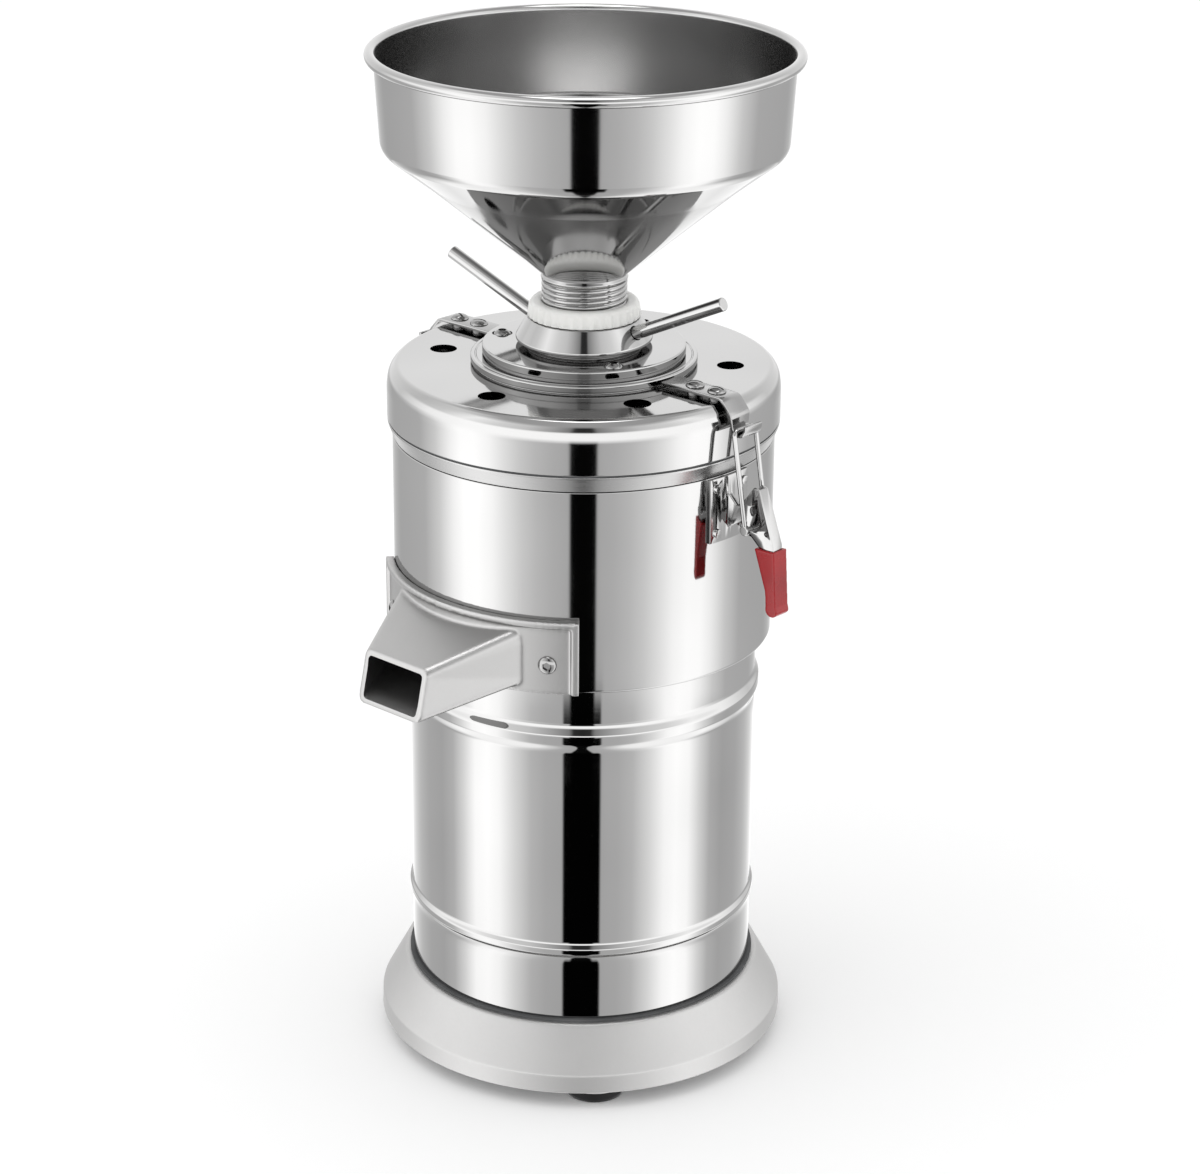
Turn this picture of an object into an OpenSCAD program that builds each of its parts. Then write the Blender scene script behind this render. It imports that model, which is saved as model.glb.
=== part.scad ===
// Upright nut butter grinder. Beans drop from the hopper through a threaded neck
// into two toothed grinding discs, and the paste is swept out of a side spout.
// Millimetres. Z is up, the spout points along -Y, the latches are on +X and -X,
// and the origin is on the floor below the motor's axis.

/* [Feet and base] */
// Height of each rubber foot below the base casting
foot_height = 8.4;        // [6:0.1:16]
// Radius of a foot where it meets the floor
foot_radius = 18;         // [14:0.5:20]
// Distance of the feet from the rim of the base
foot_inset = 25;          // [24:0.5:33]
// Angle of the feet from the line through both latches
foot_angle = 42;          // [30:1:55]
// Radius of the metal pad that each foot is screwed to
pad_radius = 22;          // [20:0.5:23]
// How far the pads reach below the rim
pad_drop = 2.2;           // [1:0.1:4]
// Radius of the base at its lower rim
base_radius = 125;        // [123:0.5:135]
// Height of the rim's upright edge
rim_edge = 11.6;          // [6:0.5:16]
// Height of the base casting above its rim's lower edge
base_height = 38.8;       // [32:0.2:50]
// Radius of the base's top face
base_top_radius = 109.6;  // [108.5:0.1:114]
// Wall of the base casting
base_wall = 5;            // [4:0.5:7]
// Thickness of the sheet that closes the base from below
bottom_sheet = 1.5;       // [1:0.1:2.5]
// Shank radius of the screws in the feet
foot_screw = 3;           // [2.5:0.1:4]

/* [Motor barrel] */
// Outer radius of the motor barrel
barrel_radius = 104.9;    // [100:0.1:106]
// Sheet thickness of the barrel
barrel_wall = 1.5;        // [1:0.1:2.5]
// Height of the barrel
barrel_height = 215.6;    // [205:0.1:240]
// How far the barrel's beads stand out
bead_depth = 2.4;         // [1:0.1:4]
// Height of the wide upper bead
upper_bead = 16;          // [10:0.5:20]
// Height of the narrow lower bead
lower_bead = 8;           // [5:0.5:12]
// Height of the sealing ring under the barrel
barrel_seal = 1.7;        // [1:0.1:3]

/* [Grinding drum] */
// Outer radius of the grinding drum
drum_radius = 113.4;      // [111:0.1:118]
// Sheet thickness of the drum's side
drum_wall = 2;            // [1.5:0.1:3]
// Thickness of the drum's floor
drum_floor = 4;           // [3:0.5:6]
// Height of the drum without its rim ring
drum_height = 122.7;      // [118:0.1:135]
// Height of the tapered rim ring
rim_height = 9.8;         // [7:0.1:14]
// How far the rim ring widens towards the cover
rim_flare = 3;            // [2:0.1:3.4]
// Thickness of the gasket below the cover
gasket = 1;               // [0.6:0.1:2]
// Thickness of the floor of the paste bowl
bowl_floor = 5.3;         // [4:0.1:7]

/* [Cover] */
// Height of the cover
cover_height = 27.8;      // [25:0.1:36]
// Wall of the cover
cover_wall = 3;           // [2:0.1:4]
// Radius of the cover's rounded shoulder
shoulder = 15;            // [10:0.5:18]
// Radius of the holes in the cover
vent_radius = 8;          // [5:0.1:9]
// Distance of the cover's holes from the axis
vent_pitch = 85;          // [82:0.5:88]
// Radius of the raised land in the middle of the cover
land_radius = 66.9;       // [64:0.1:70]
// Height of the raised land's top face above the cover
land_height = 9.2;        // [7.5:0.1:12]
// Thickness of the land's rim
land_rim = 5.6;           // [4:0.1:6.8]
// Radius of the waist below the land's rim
land_waist = 59.4;        // [56:0.1:62]
// Radius of the thrust plate
plate_radius = 60;        // [57:0.1:63]
// Thickness of the thrust plate
plate_height = 6.5;       // [5:0.1:9]
// Distance of the plate's screws from the axis
plate_screw_pitch = 51;   // [49:0.5:52]
// Radius of the heads of the plate and strap screws
head_radius = 5.5;        // [4.5:0.1:6]
// Height of the heads of the plate and strap screws
head_height = 3;          // [2:0.1:4]
// Shank radius of the plate and strap screws
shank_radius = 2.5;       // [2:0.1:3]

/* [Adjusting collar] */
// Radius of the collar at its lower edge
collar_radius = 40.3;     // [39:0.1:44]
// Radius of the collar at its top face
collar_top_radius = 33.5; // [32.5:0.1:35]
// Height of the collar's cone
collar_height = 13.7;     // [12:0.1:18]
// Height of the hub that lifts the collar off the plate
collar_hub = 2.5;         // [1.5:0.1:5]
// Radius of each adjusting rod
rod_radius = 4;           // [3:0.1:4.5]
// Length of an adjusting rod outside the collar
rod_length = 66;          // [50:1:80]
// Rise of the adjusting rods, in degrees
rod_rise = 25;            // [15:1:30]
// Turn of the rods from the line through both latches
rod_angle = 9;            // [0:1:40]
// Outer radius of the carrier's threaded tube
carrier_radius = 30;      // [29:0.1:31]
// Radial play of the parts that turn or slide on each other
running_fit = 0.05;       // [0.02:0.01:0.09]
// Gap between the faces of the two grinding discs
grind_gap = 0.6;          // [0.5:0.1:2]

/* [Hopper] */
// Radius of the threaded neck
neck_radius = 25.2;       // [24:0.1:26]
// Wall of the threaded neck
neck_wall = 4.2;          // [3:0.1:5]
// Length of bare thread between the lock nut and the hopper's cone
neck_shown = 12.8;        // [8:0.1:24]
// Height of the lock nut
nut_height = 9.6;         // [7:0.1:12]
// Radius of the lock nut at its foot
nut_radius = 33.4;        // [32.4:0.1:36]
// Number of grip ribs around the lock nut
nut_ribs = 36;            // [24:1:48]
// Height of the hopper's cone
cone_height = 76;         // [60:0.5:90]
// Radius of the hopper's wall at its foot
hopper_foot_radius = 118; // [110:0.1:119]
// Radius of the hopper's wall at its top
hopper_radius = 121.2;    // [119.1:0.1:126]
// Height of the hopper's wall above the cone
hopper_height = 56.4;     // [40:0.1:70]
// Radius of the rolled bead on the hopper's rim
lip_radius = 3.3;         // [2.5:0.1:4.5]
// Sheet thickness of the hopper
hopper_wall = 1.5;        // [1:0.1:2.5]

/* [Spout] */
// Half width of the spout at its mouth
mouth_half = 25.3;        // [22:0.1:30]
// Distance of the mouth's upper lip from the axis
mouth_reach = 155;        // [148:0.5:165]
// How much further the mouth's lower lip reaches
lower_lip = 9;            // [0:0.5:14]
// Height of the mouth
mouth_height = 30;        // [26:0.5:32]
// Widening of each side of the spout per millimetre towards the drum
spout_flare = 0.45;       // [0.3:0.01:0.5]
// Rise of the spout's roof per millimetre towards the drum
roof_slope = 0.32;        // [0.25:0.01:0.36]
// Rise of the spout's floor per millimetre towards the drum
floor_slope = 0.25;       // [0.2:0.01:0.28]
// Wall of the spout
spout_wall = 3;           // [2.5:0.1:3.5]
// Half width of the saddle that holds the spout to the drum, in degrees
saddle_half = 42;         // [40:0.5:44]
// Height of the saddle
saddle_height = 45.3;     // [44:0.1:50]
// Thickness of the saddle
saddle_wall = 3;          // [2.5:0.1:4]
// How far the saddle's edge stands out
saddle_edge = 2.2;        // [1:0.1:3]

/* [Latches] */
// Width of the cover's straps
strap_width = 16;         // [14:0.5:18]
// Thickness of the cover's straps
strap_wall = 2;           // [1.5:0.1:2.5]
// Gap between the straps and the cover
strap_lift = 6;           // [4:0.1:8]
// Distance of the straps' upright legs from the axis
strap_reach = 120;        // [118.5:0.1:121]
// Inner radius of the hook at the end of a strap
hook_radius = 4;          // [3.8:0.1:4.5]
// Width of the hook
hook_width = 14;          // [12:0.5:14.4]
// Radius of the bail's wire
wire_radius = 1.5;        // [1.2:0.1:1.6]
// Half distance between the bail's two legs
leg_half = 9.2;           // [9:0.1:10]
// Half width of the latch lever
lever_half = 3.9;         // [3.8:0.1:4.4]
// Sheet thickness of the latch lever and its bracket
lever_wall = 1.4;         // [1:0.1:1.6]
// Distance of the lever's pivot from the axis
pivot_reach = 136;        // [134.5:0.1:137]
// Radius of the lever's pivot pin
pivot_pin = 2.2;          // [1.8:0.1:2.4]

/* [Motor] */
// Radius of the motor's shaft
shaft_radius = 10;        // [8:0.1:11]
// Space between the stator and the barrel
stator_gap = 20.9;        // [19:0.1:24]
// Radial depth of the stator's laminated core
stator_depth = 34;        // [31:0.5:38]
// Air gap between rotor and stator
air_gap = 0.6;            // [0.4:0.1:1]
// Height of the stator's laminated core
stator_height = 80;       // [60:1:90]
// Radius of the grinding discs
disc_radius = 72;         // [66:0.5:76]
// Number of teeth on each grinding disc
disc_teeth = 20;          // [12:1:24]

/* [Rear controls] */
// Height of the rocker switch above the floor
switch_level = 160;       // [130:1:180]
// Radius of the hole in the cord gland
gland_bore = 4;           // [3:0.1:5]
// Height of the cord gland above the floor
gland_level = 74;         // [70:1:82]

/* [Hidden] */
$fn = 96;
e = 0.01;
view = 1;

// Levels, from the floor up
z_pad = foot_height;
z_rim = z_pad + pad_drop;
z_deck = z_rim + base_height;
z_barrel = z_deck + barrel_seal;
z_drum = z_barrel + barrel_height;
z_bowl = z_drum + drum_floor;
z_paste = z_bowl + bowl_floor;
z_ring = z_drum + drum_height;
z_gasket = z_ring + rim_height;
z_cover = z_gasket + gasket;
z_top = z_cover + cover_height;
z_land = z_top + land_height;
z_plate = z_land + plate_height;
z_collar = z_plate + collar_hub;
z_nut = z_collar + collar_height;
nut_gap = 0.45;
z_neck = z_nut + nut_gap + nut_height + neck_shown;
z_wall = z_neck + cone_height;
z_lip = z_wall + hopper_height;

// Radii that follow from others
cover_radius = drum_radius + rim_flare;
neck_bore = neck_radius - neck_wall;
hub_radius = carrier_radius + 4;
bearing_radius = shaft_radius + 13;
foot_pitch = base_radius - foot_inset;
stator_radius = barrel_radius - stator_gap;
stator_bore = stator_radius - stator_depth;
rotor_radius = stator_bore - air_gap;

// Motor levels: it hangs from the drum's floor
bell_reach = 66.7;
z_stator_top = z_drum - bell_reach;
z_stator = z_stator_top - stator_height;
bell_depth = 38;
z_bell = z_stator - bell_depth;
bell_wall = 6;
winding = 28;

// Grinding head levels, from the cover down
z_cover_in = z_top - cover_wall;
spring_length = 33;
z_flange = z_cover_in - spring_length;
flange_wall = 8;
disc_height = 17;
z_upper = z_flange - flange_wall - disc_height;
z_lower = z_upper - grind_gap - 10;
holder_height = 12;
z_holder = z_lower - holder_height;
throat = 24;
spring_pitch = 56;
spring_radius = 6;

// Latch layout in the plane of one latch: distance from the axis, height
strap_level = z_top + strap_lift;
hook_x = strap_reach + strap_wall + hook_radius;
hook_z = z_cover + 20.8;
bail_x = strap_reach + strap_wall + wire_radius + 1.4;
bail_z = hook_z - hook_radius + wire_radius + 0.6;
pivot_z = bail_z - 46.1;
wrist_x = pivot_reach - 1.2;
wrist_z = pivot_z - 11;
wrist_bore = wire_radius + running_fit;
eye_radius = 3;
ear_half = lever_half - lever_wall - 0.5;
grip_wall = 1.9;
grip_gap = 0.1;

function arc(cx, cy, r, a0, a1, n) =
    [for (i = [0:n]) let (a = a0 + (a1 - a0) * i / n) [cx + r * cos(a), cy + r * sin(a)]];

module ring(outer, inner, low, high) {
    translate([0, 0, low]) difference() {
        cylinder(h = high - low, r = outer);
        translate([0, 0, -1]) cylinder(h = high - low + 2, r = inner);
    }
}
module disc(radius, low, high) translate([0, 0, low]) cylinder(h = high - low, r = radius);
module around(radius, angle) rotate([0, 0, angle]) translate([radius, 0, 0]) children();
// A sheet drawn in the plane of a latch (distance, height) and given a width
module slab(points, low, high)
    translate([0, high, 0]) rotate([90, 0, 0]) linear_extrude(high - low) polygon(points);
module rod_y(x, z, radius, low, high)
    translate([x, high, z]) rotate([90, 0, 0]) cylinder(h = high - low, r = radius);
module on_feet() for (a = [foot_angle, 180 - foot_angle, 180 + foot_angle, -foot_angle])
    around(foot_pitch, a) children();

// ---------------------------------------------------------------- base

module foot(angle) around(foot_pitch, angle) color([0.03, 0.03, 0.03])
    difference() {
        union() {
            cylinder(h = 2, r1 = foot_radius - 1, r2 = foot_radius);
            translate([0, 0, 2]) cylinder(h = foot_height - 2, r1 = foot_radius, r2 = foot_radius - 1.5);
        }
        translate([0, 0, -1]) cylinder(h = foot_height + 2, r = foot_screw + 0.3);
        translate([0, 0, -1]) cylinder(h = foot_height - 2.4, r = foot_screw * 2 + 0.5);
    }
module foot_front_right() foot(-foot_angle);
module foot_front_left() foot(180 + foot_angle);
module foot_rear_right() foot(foot_angle);
module foot_rear_left() foot(180 - foot_angle);

module foot_screws() color([0.7, 0.7, 0.72]) on_feet() {
    translate([0, 0, foot_height - 6.4]) cylinder(h = 3, r = foot_screw * 2);
    translate([0, 0, foot_height - 4]) cylinder(h = 20, r = foot_screw - 0.1);
}

module base_casting() color([0.72, 0.72, 0.71]) difference() {
    union() {
        rotate_extrude() polygon([
            [40, z_deck - base_wall], [40, z_deck], [base_top_radius - 1, z_deck],
            [base_top_radius, z_deck - 1], [base_top_radius + 1.2, z_deck - 3.4],
            [base_radius - 0.3, z_rim + rim_edge], [base_radius, z_rim + rim_edge - 0.8],
            [base_radius, z_rim + 0.6], [base_radius - 0.6, z_rim], [base_radius - base_wall, z_rim],
            [base_radius - base_wall, z_rim + rim_edge - 2],
            [base_top_radius - base_wall + 1, z_deck - base_wall]]);
        intersection() {
            on_feet() disc(pad_radius, z_pad, z_deck - base_wall + e);
            rotate_extrude() polygon([[0, 0], [0, z_deck],
                [base_top_radius - 2, z_deck], [base_radius - 2, z_rim + rim_edge - 1],
                [base_radius - 2, 0]]);
        }
        for (a = [0:3]) rotate([0, 0, a * 90]) translate([44, -2, z_rim + 4 + bottom_sheet])
            cube([base_top_radius - base_wall - 44, 4, z_deck - base_wall - z_rim - 4 - bottom_sheet + e]);
    }
    on_feet() disc(foot_screw, z_pad - 1, z_pad + 18);
}

module bottom_cover() color([0.55, 0.55, 0.56]) difference() {
    disc(base_radius - base_wall - 0.3, z_rim + 4, z_rim + 4 + bottom_sheet);
    on_feet() disc(pad_radius + 0.3, z_rim, z_rim + 10);
    for (i = [-3:3]) translate([i * 12 - 3, -28, z_rim]) cube([6, 56, 10]);
}

module barrel_gasket() color([0.35, 0.35, 0.36])
    ring(barrel_radius + 2.2, barrel_radius - 4, z_deck, z_barrel);

// ---------------------------------------------------------------- barrel

bead_top = z_drum - 24.7;
bead_low = z_barrel + 41;
function barrel_side(r) = [
    [r, z_barrel], [r, bead_low], [r + bead_depth * 0.7, bead_low + lower_bead * 0.28],
    [r + bead_depth * 0.7, bead_low + lower_bead * 0.72], [r, bead_low + lower_bead],
    [r, bead_top - upper_bead], [r + bead_depth * 0.62, bead_top - upper_bead * 0.87],
    [r + bead_depth, bead_top - upper_bead * 0.62], [r + bead_depth, bead_top - upper_bead * 0.38],
    [r + bead_depth * 0.62, bead_top - upper_bead * 0.13], [r, bead_top], [r, z_drum]];

module switch_slot(grow) translate([-14 - grow, 0, switch_level - 11 - grow])
    cube([28 + 2 * grow, barrel_radius + 20, 22 + 2 * grow]);
module gland_axis(radius, from, to)
    translate([0, from, gland_level]) rotate([-90, 0, 0]) cylinder(h = to - from, r = radius);

module motor_barrel() color([0.86, 0.86, 0.87]) difference() {
    rotate_extrude() polygon(concat(barrel_side(barrel_radius),
        [for (i = [11:-1:0]) barrel_side(barrel_radius - barrel_wall)[i]]));
    switch_slot(0.1);
    gland_axis(gland_bore + 3.1, 60, barrel_radius + 20);
}

module switch_bezel() color([0.05, 0.05, 0.05]) difference() {
    union() {
        intersection() {
            switch_slot(0);
            translate([-20, barrel_radius - 16, switch_level - 20]) cube([40, 40, 40]);
            disc(barrel_radius + 4.5, switch_level - 20, switch_level + 20);
        }
        difference() {
            intersection() {
                switch_slot(3);
                translate([-20, barrel_radius - 5, switch_level - 20]) cube([40, 40, 40]);
                disc(barrel_radius + 4.5, switch_level - 20, switch_level + 20);
            }
            disc(barrel_radius + e, switch_level - 30, switch_level + 30);
        }
    }
    translate([-10, barrel_radius - 14, switch_level - 9]) cube([20, 60, 18]);
}

rocker_y = barrel_radius - 3;
rocker_tilt = 6;
module switch_rocker() color([0.6, 0.02, 0.02]) translate([0, rocker_y, switch_level]) difference() {
    rotate([rocker_tilt, 0, 0]) rotate([0, 90, 0]) translate([0, 0, -9.6]) linear_extrude(19.2)
        polygon([[-8.3, 5.5], [-7.2, 7.2], [0, 5.6], [7.2, 7.2], [8.3, 5.5], [5, -6], [-5, -6]]);
    translate([-12, 0, 0]) rotate([0, 90, 0]) cylinder(h = 24, r = 1.5 + running_fit);
}
module switch_pivot() color([0.7, 0.7, 0.7])
    translate([-10, rocker_y, switch_level]) rotate([0, 90, 0]) cylinder(h = 20, r = 1.5);

module cord_gland() color([0.05, 0.05, 0.05]) difference() {
    union() {
        gland_axis(gland_bore + 3, barrel_radius - 9, barrel_radius + 14);
        difference() {
            gland_axis(gland_bore + 7, barrel_radius - 3, barrel_radius + 5);
            disc(barrel_radius + e, gland_level - 20, gland_level + 20);
        }
        intersection() {
            gland_axis(gland_bore + 6, barrel_radius - 9, barrel_radius);
            disc(barrel_radius - barrel_wall - e, gland_level - 20, gland_level + 20);
        }
    }
    gland_axis(gland_bore, 60, barrel_radius + 30);
}

// ---------------------------------------------------------------- motor

bell_slot = 22;
module motor_lower_bell() color([0.5, 0.5, 0.52]) difference() {
    union() {
        ring(stator_radius, stator_radius - bell_wall, z_bell, z_stator);
        ring(stator_radius, bearing_radius, z_bell, z_bell + bell_wall);
        ring(bearing_radius + 6, bearing_radius, z_bell, z_bell + 16);
    }
    for (i = [0:7]) rotate([0, 0, i * 45]) translate([stator_radius - 20, -bell_slot / 2, z_bell + bell_wall + 4])
        cube([40, bell_slot, 14]);
    for (i = [0:3]) around(stator_radius - 10, i * 90 + 45) disc(3.6, z_bell - 1, z_bell + 10);
}
module motor_upper_bell() color([0.5, 0.5, 0.52]) difference() {
    union() {
        ring(stator_radius, stator_radius - bell_wall, z_stator_top, z_drum);
        ring(stator_radius, bearing_radius, z_drum - 10, z_drum);
        ring(bearing_radius + 6, bearing_radius, z_drum - 20, z_drum);
    }
    for (i = [0:7]) rotate([0, 0, i * 45]) translate([stator_radius - 20, -bell_slot / 2, z_stator_top + 8])
        cube([40, bell_slot, 34]);
}
module bearings() color([0.75, 0.75, 0.77]) for (low = [z_bell + 1, z_drum - 19])
    ring(bearing_radius, shaft_radius + running_fit, low, low + 14);

module stator_core() color([0.4, 0.4, 0.42]) ring(stator_radius, stator_bore, z_stator, z_stator_top);
module stator_windings() color([0.72, 0.36, 0.16]) for (z = [z_stator, z_stator_top + winding])
    rotate_extrude() translate([0, z - winding]) polygon([
        [stator_bore + 6, 0], [stator_radius - 20, 0], [stator_radius - 16, 4],
        [stator_radius - 16, winding], [stator_bore + 3, winding], [stator_bore + 3, 3]]);
module motor_capacitor() color([0.12, 0.12, 0.14]) translate([0, 62, z_deck]) {
    cylinder(h = z_bell - z_deck - 8, r = 17);
    translate([0, 0, z_bell - z_deck - 8]) cylinder(h = 5, r = 15);
}
module motor_bolts() color([0.7, 0.7, 0.72]) for (i = [0:3]) around(stator_radius - 10, i * 90 + 45) {
    disc(3.5, z_bell - 4, z_stator);
    disc(6.4, z_bell - 5, z_bell);
}

// ---------------------------------------------------------------- turning parts

module motor_shaft() color([0.8, 0.8, 0.82]) {
    disc(shaft_radius, z_bell - 1, z_lower);
    disc(shaft_radius - 3, z_lower - e, z_upper + 12);
}
module rotor_core() color([0.45, 0.45, 0.47]) {
    ring(rotor_radius, shaft_radius, z_stator, z_stator_top);
    for (z = [z_stator - 8, z_stator_top]) ring(rotor_radius - 3, rotor_radius - 14, z, z + 8);
}
fan_low = z_bell + 17.5;
module cooling_fan() color([0.1, 0.1, 0.1]) {
    ring(shaft_radius + 6, shaft_radius, fan_low, fan_low + 11);
    for (i = [0:7]) rotate([0, 0, i * 45]) translate([shaft_radius + 3, 0, fan_low + 5.5]) rotate([35, 0, 0])
        translate([0, -6.5, -0.9]) cube([rotor_radius - shaft_radius - 8, 13, 1.8]);
}

// The hub round the shaft keeps the paste away from the seal
well = bearing_radius - 1;
module paste_bowl() color([0.8, 0.8, 0.8]) difference() {
    union() {
        disc(drum_radius - drum_wall - 0.05, z_bowl, z_paste);
        disc(well + 4, z_bowl, z_paste + 22);
        rotate_extrude() polygon([[drum_radius - drum_wall - 0.05, z_paste - e],
            [drum_radius - drum_wall - 0.05, z_paste + 10], [drum_radius - drum_wall - 9, z_paste - e]]);
    }
    disc(well, z_bowl - 1, z_paste + 18);
    disc(shaft_radius + 4, z_bowl, z_paste + 30);
    spout_passage();
}
module shaft_seal() color([0.06, 0.06, 0.06])
    ring(well, shaft_radius + running_fit, z_paste + 2, z_paste + 18);

module paste_scraper() color([0.82, 0.82, 0.8]) {
    difference() {
        disc(well + 10, z_paste + 22.6, z_holder);
        disc(shaft_radius, z_paste, z_holder + 1);
    }
    for (i = [0:2]) rotate([0, 0, i * 120]) {
        translate([well + 6, -4, z_paste + 24]) cube([drum_radius - drum_wall - 14 - well - 6, 8, 12]);
        rotate([0, 0, -4]) translate([well + 7, 0, z_paste + 0.5])
            cube([drum_radius - drum_wall - 18 - well, 4, 30]);
    }
}
module disc_holder() color([0.7, 0.7, 0.72]) difference() {
    union() {
        disc(disc_radius, z_holder, z_lower);
        rotate_extrude() polygon([[20, z_holder], [disc_radius + 6, z_holder], [disc_radius + 9, z_lower - 2],
            [disc_radius, z_lower - 2], [20, z_lower - 4]]);
    }
    disc(shaft_radius, z_holder - 1, z_lower + 1);
}
// Teeth are left standing between slanted grooves, as on a cast disc
module grooves(inner, depth) for (i = [0:disc_teeth - 1]) rotate([0, 0, i * 360 / disc_teeth])
    translate([inner, -2.6, -depth]) rotate([0, 0, 14]) cube([disc_radius, 5.2, depth + 1]);
module lower_disc() color([0.42, 0.42, 0.44]) difference() {
    ring(disc_radius, shaft_radius + 6, z_lower, z_lower + 10);
    translate([0, 0, z_lower + 10]) grooves(26, 2.6);
}
module feed_auger() color([0.82, 0.82, 0.8]) difference() {
    union() {
        disc(shaft_radius + 2, z_lower, z_upper + 12);
        translate([0, 0, z_lower + 10.2]) linear_extrude(z_upper + 11 - z_lower - 10.2, twist = -120, slices = 12, $fn = 10)
            union() {
                circle(r = 8, $fn = 24);
                for (s = [0, 180]) rotate([0, 0, s]) translate([0, -2.5]) square([21, 5]);
            }
    }
    disc(shaft_radius - 3, z_lower - 1, z_upper + 13);
}
module auger_nut() color([0.7, 0.7, 0.72]) translate([0, 0, z_upper + 12]) {
    cylinder(h = 8, r = 11, $fn = 6);
    translate([0, 0, 8]) cylinder(h = 6, r1 = 9, r2 = 4);
}

// ---------------------------------------------------------------- drum

module spout_shape(inset) {
    roof = z_drum + 20.3 - inset;
    lip = roof - mouth_height + 2 * inset;
    back = drum_radius - 22;
    grow = inset > 0 ? 6 : 0;
    half_at = mouth_half - inset;
    intersection() {
        translate([0, 0, z_drum - 30]) linear_extrude(120) polygon([
            [half_at - grow * spout_flare, -mouth_reach - lower_lip / 2 - grow - 6],
            [half_at + spout_flare * (mouth_reach + lower_lip / 2 - back), -back],
            [-half_at - spout_flare * (mouth_reach + lower_lip / 2 - back), -back],
            [-half_at + grow * spout_flare, -mouth_reach - lower_lip / 2 - grow - 6]]);
        slab_x([
            [-mouth_reach - grow, roof - grow * roof_slope], [-back, roof + roof_slope * (mouth_reach - back)],
            [-back, lip + floor_slope * (mouth_reach + lower_lip - back)],
            [-mouth_reach - lower_lip - grow, lip - grow * floor_slope]]);
    }
}
module slab_x(points) translate([-120, 0, 0]) rotate([90, 0, 90]) linear_extrude(240) polygon(points);
module spout_passage() spout_shape(spout_wall);

module drum() color([0.85, 0.85, 0.86]) difference() {
    union() {
        ring(drum_radius, drum_radius - drum_wall, z_drum, z_ring);
        ring(drum_radius, bearing_radius, z_drum, z_bowl);
    }
    spout_passage();
}

module spout_saddle(radius, depth, half, low, high)
    translate([0, 0, low]) rotate([0, 0, -90 - half]) rotate_extrude(angle = 2 * half)
        translate([radius, 0]) square([depth, high - low]);
module spout() color([0.7, 0.7, 0.69]) difference() {
    union() {
        difference() {
            spout_shape(0);
            disc(drum_radius + saddle_wall / 2, z_drum - 40, z_ring);
        }
        difference() {
            spout_saddle(drum_radius, saddle_wall + saddle_edge, saddle_half, z_drum, z_drum + saddle_height);
            spout_saddle(drum_radius + saddle_wall, saddle_edge + 5, saddle_half - 2,
                z_drum - 5, z_drum + saddle_height - 4);
        }
    }
    spout_passage();
    for (s = [-1, 1]) rotate([0, 0, -90 + s * 33]) translate([drum_radius - 5, -s * 3, spout_screw_z])
        rotate([0, 90, 0]) linear_extrude(20) polygon(concat(
            arc(0, -3, shank_radius + 0.5, 180, 360, 8), arc(0, 3, shank_radius + 0.5, 0, 180, 8)));
}
spout_screw_z = z_drum + 18.3;
module spout_screws() color([0.75, 0.75, 0.77]) for (s = [-1, 1]) rotate([0, 0, -90 + s * 33])
    translate([drum_radius + saddle_wall + 0.1, 0, spout_screw_z]) rotate([0, 90, 0]) {
        translate([0, 0, -saddle_wall - 0.1]) cylinder(h = saddle_wall + 0.2, r = shank_radius);
        cylinder(h = 2.6, r1 = head_radius, r2 = head_radius - 1);
    }

module rim_ring() color([0.8, 0.8, 0.81]) rotate_extrude() polygon([
    [drum_radius - 5, z_ring], [drum_radius - 0.5, z_ring], [drum_radius, z_ring + 0.5],
    [cover_radius - 0.2, z_gasket - 0.5], [cover_radius - 0.2, z_gasket], [drum_radius - 5, z_gasket]]);
module cover_gasket() color([0.25, 0.25, 0.26])
    ring(cover_radius - 0.8, drum_radius - 4, z_gasket, z_cover);

// ---------------------------------------------------------------- cover

vent_angles = [-159, -90, -25, 44.5, 122];
plate_screw_angles = [88, 205, 332.5];
strap_screw_reach = [87, 103.5];
module cover() color([0.86, 0.86, 0.87]) difference() {
    union() {
        rotate_extrude() polygon(concat(
            [[carrier_radius + 10, z_cover_in], [carrier_radius + 10, z_land], [land_radius - 1, z_land],
             [land_radius, z_land - 1], [land_radius, z_land - land_rim + 1],
             [land_radius - 1, z_land - land_rim], [land_waist, z_land - land_rim], [land_waist, z_top]],
            [for (p = arc(cover_radius - shoulder, z_top - shoulder, shoulder, 90, 0, 8)) p],
            [[cover_radius, z_cover], [cover_radius - cover_wall, z_cover]],
            [for (p = arc(cover_radius - shoulder, z_top - shoulder, shoulder - cover_wall, 0, 90, 6)) p]));
        for (s = [0, 180], r = strap_screw_reach) around(r, s) disc(4.6, z_cover_in + 0.5, strap_level);
    }
    for (a = vent_angles) around(vent_pitch, a) disc(vent_radius, z_cover_in - 1, z_top + 1);
    for (s = [0, 180], r = strap_screw_reach) around(r, s) disc(shank_radius, strap_level - 7, strap_level + 1);
    for (a = plate_screw_angles) around(plate_screw_pitch, a) disc(shank_radius, z_cover_in - 1, z_land + 1);
}

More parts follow.
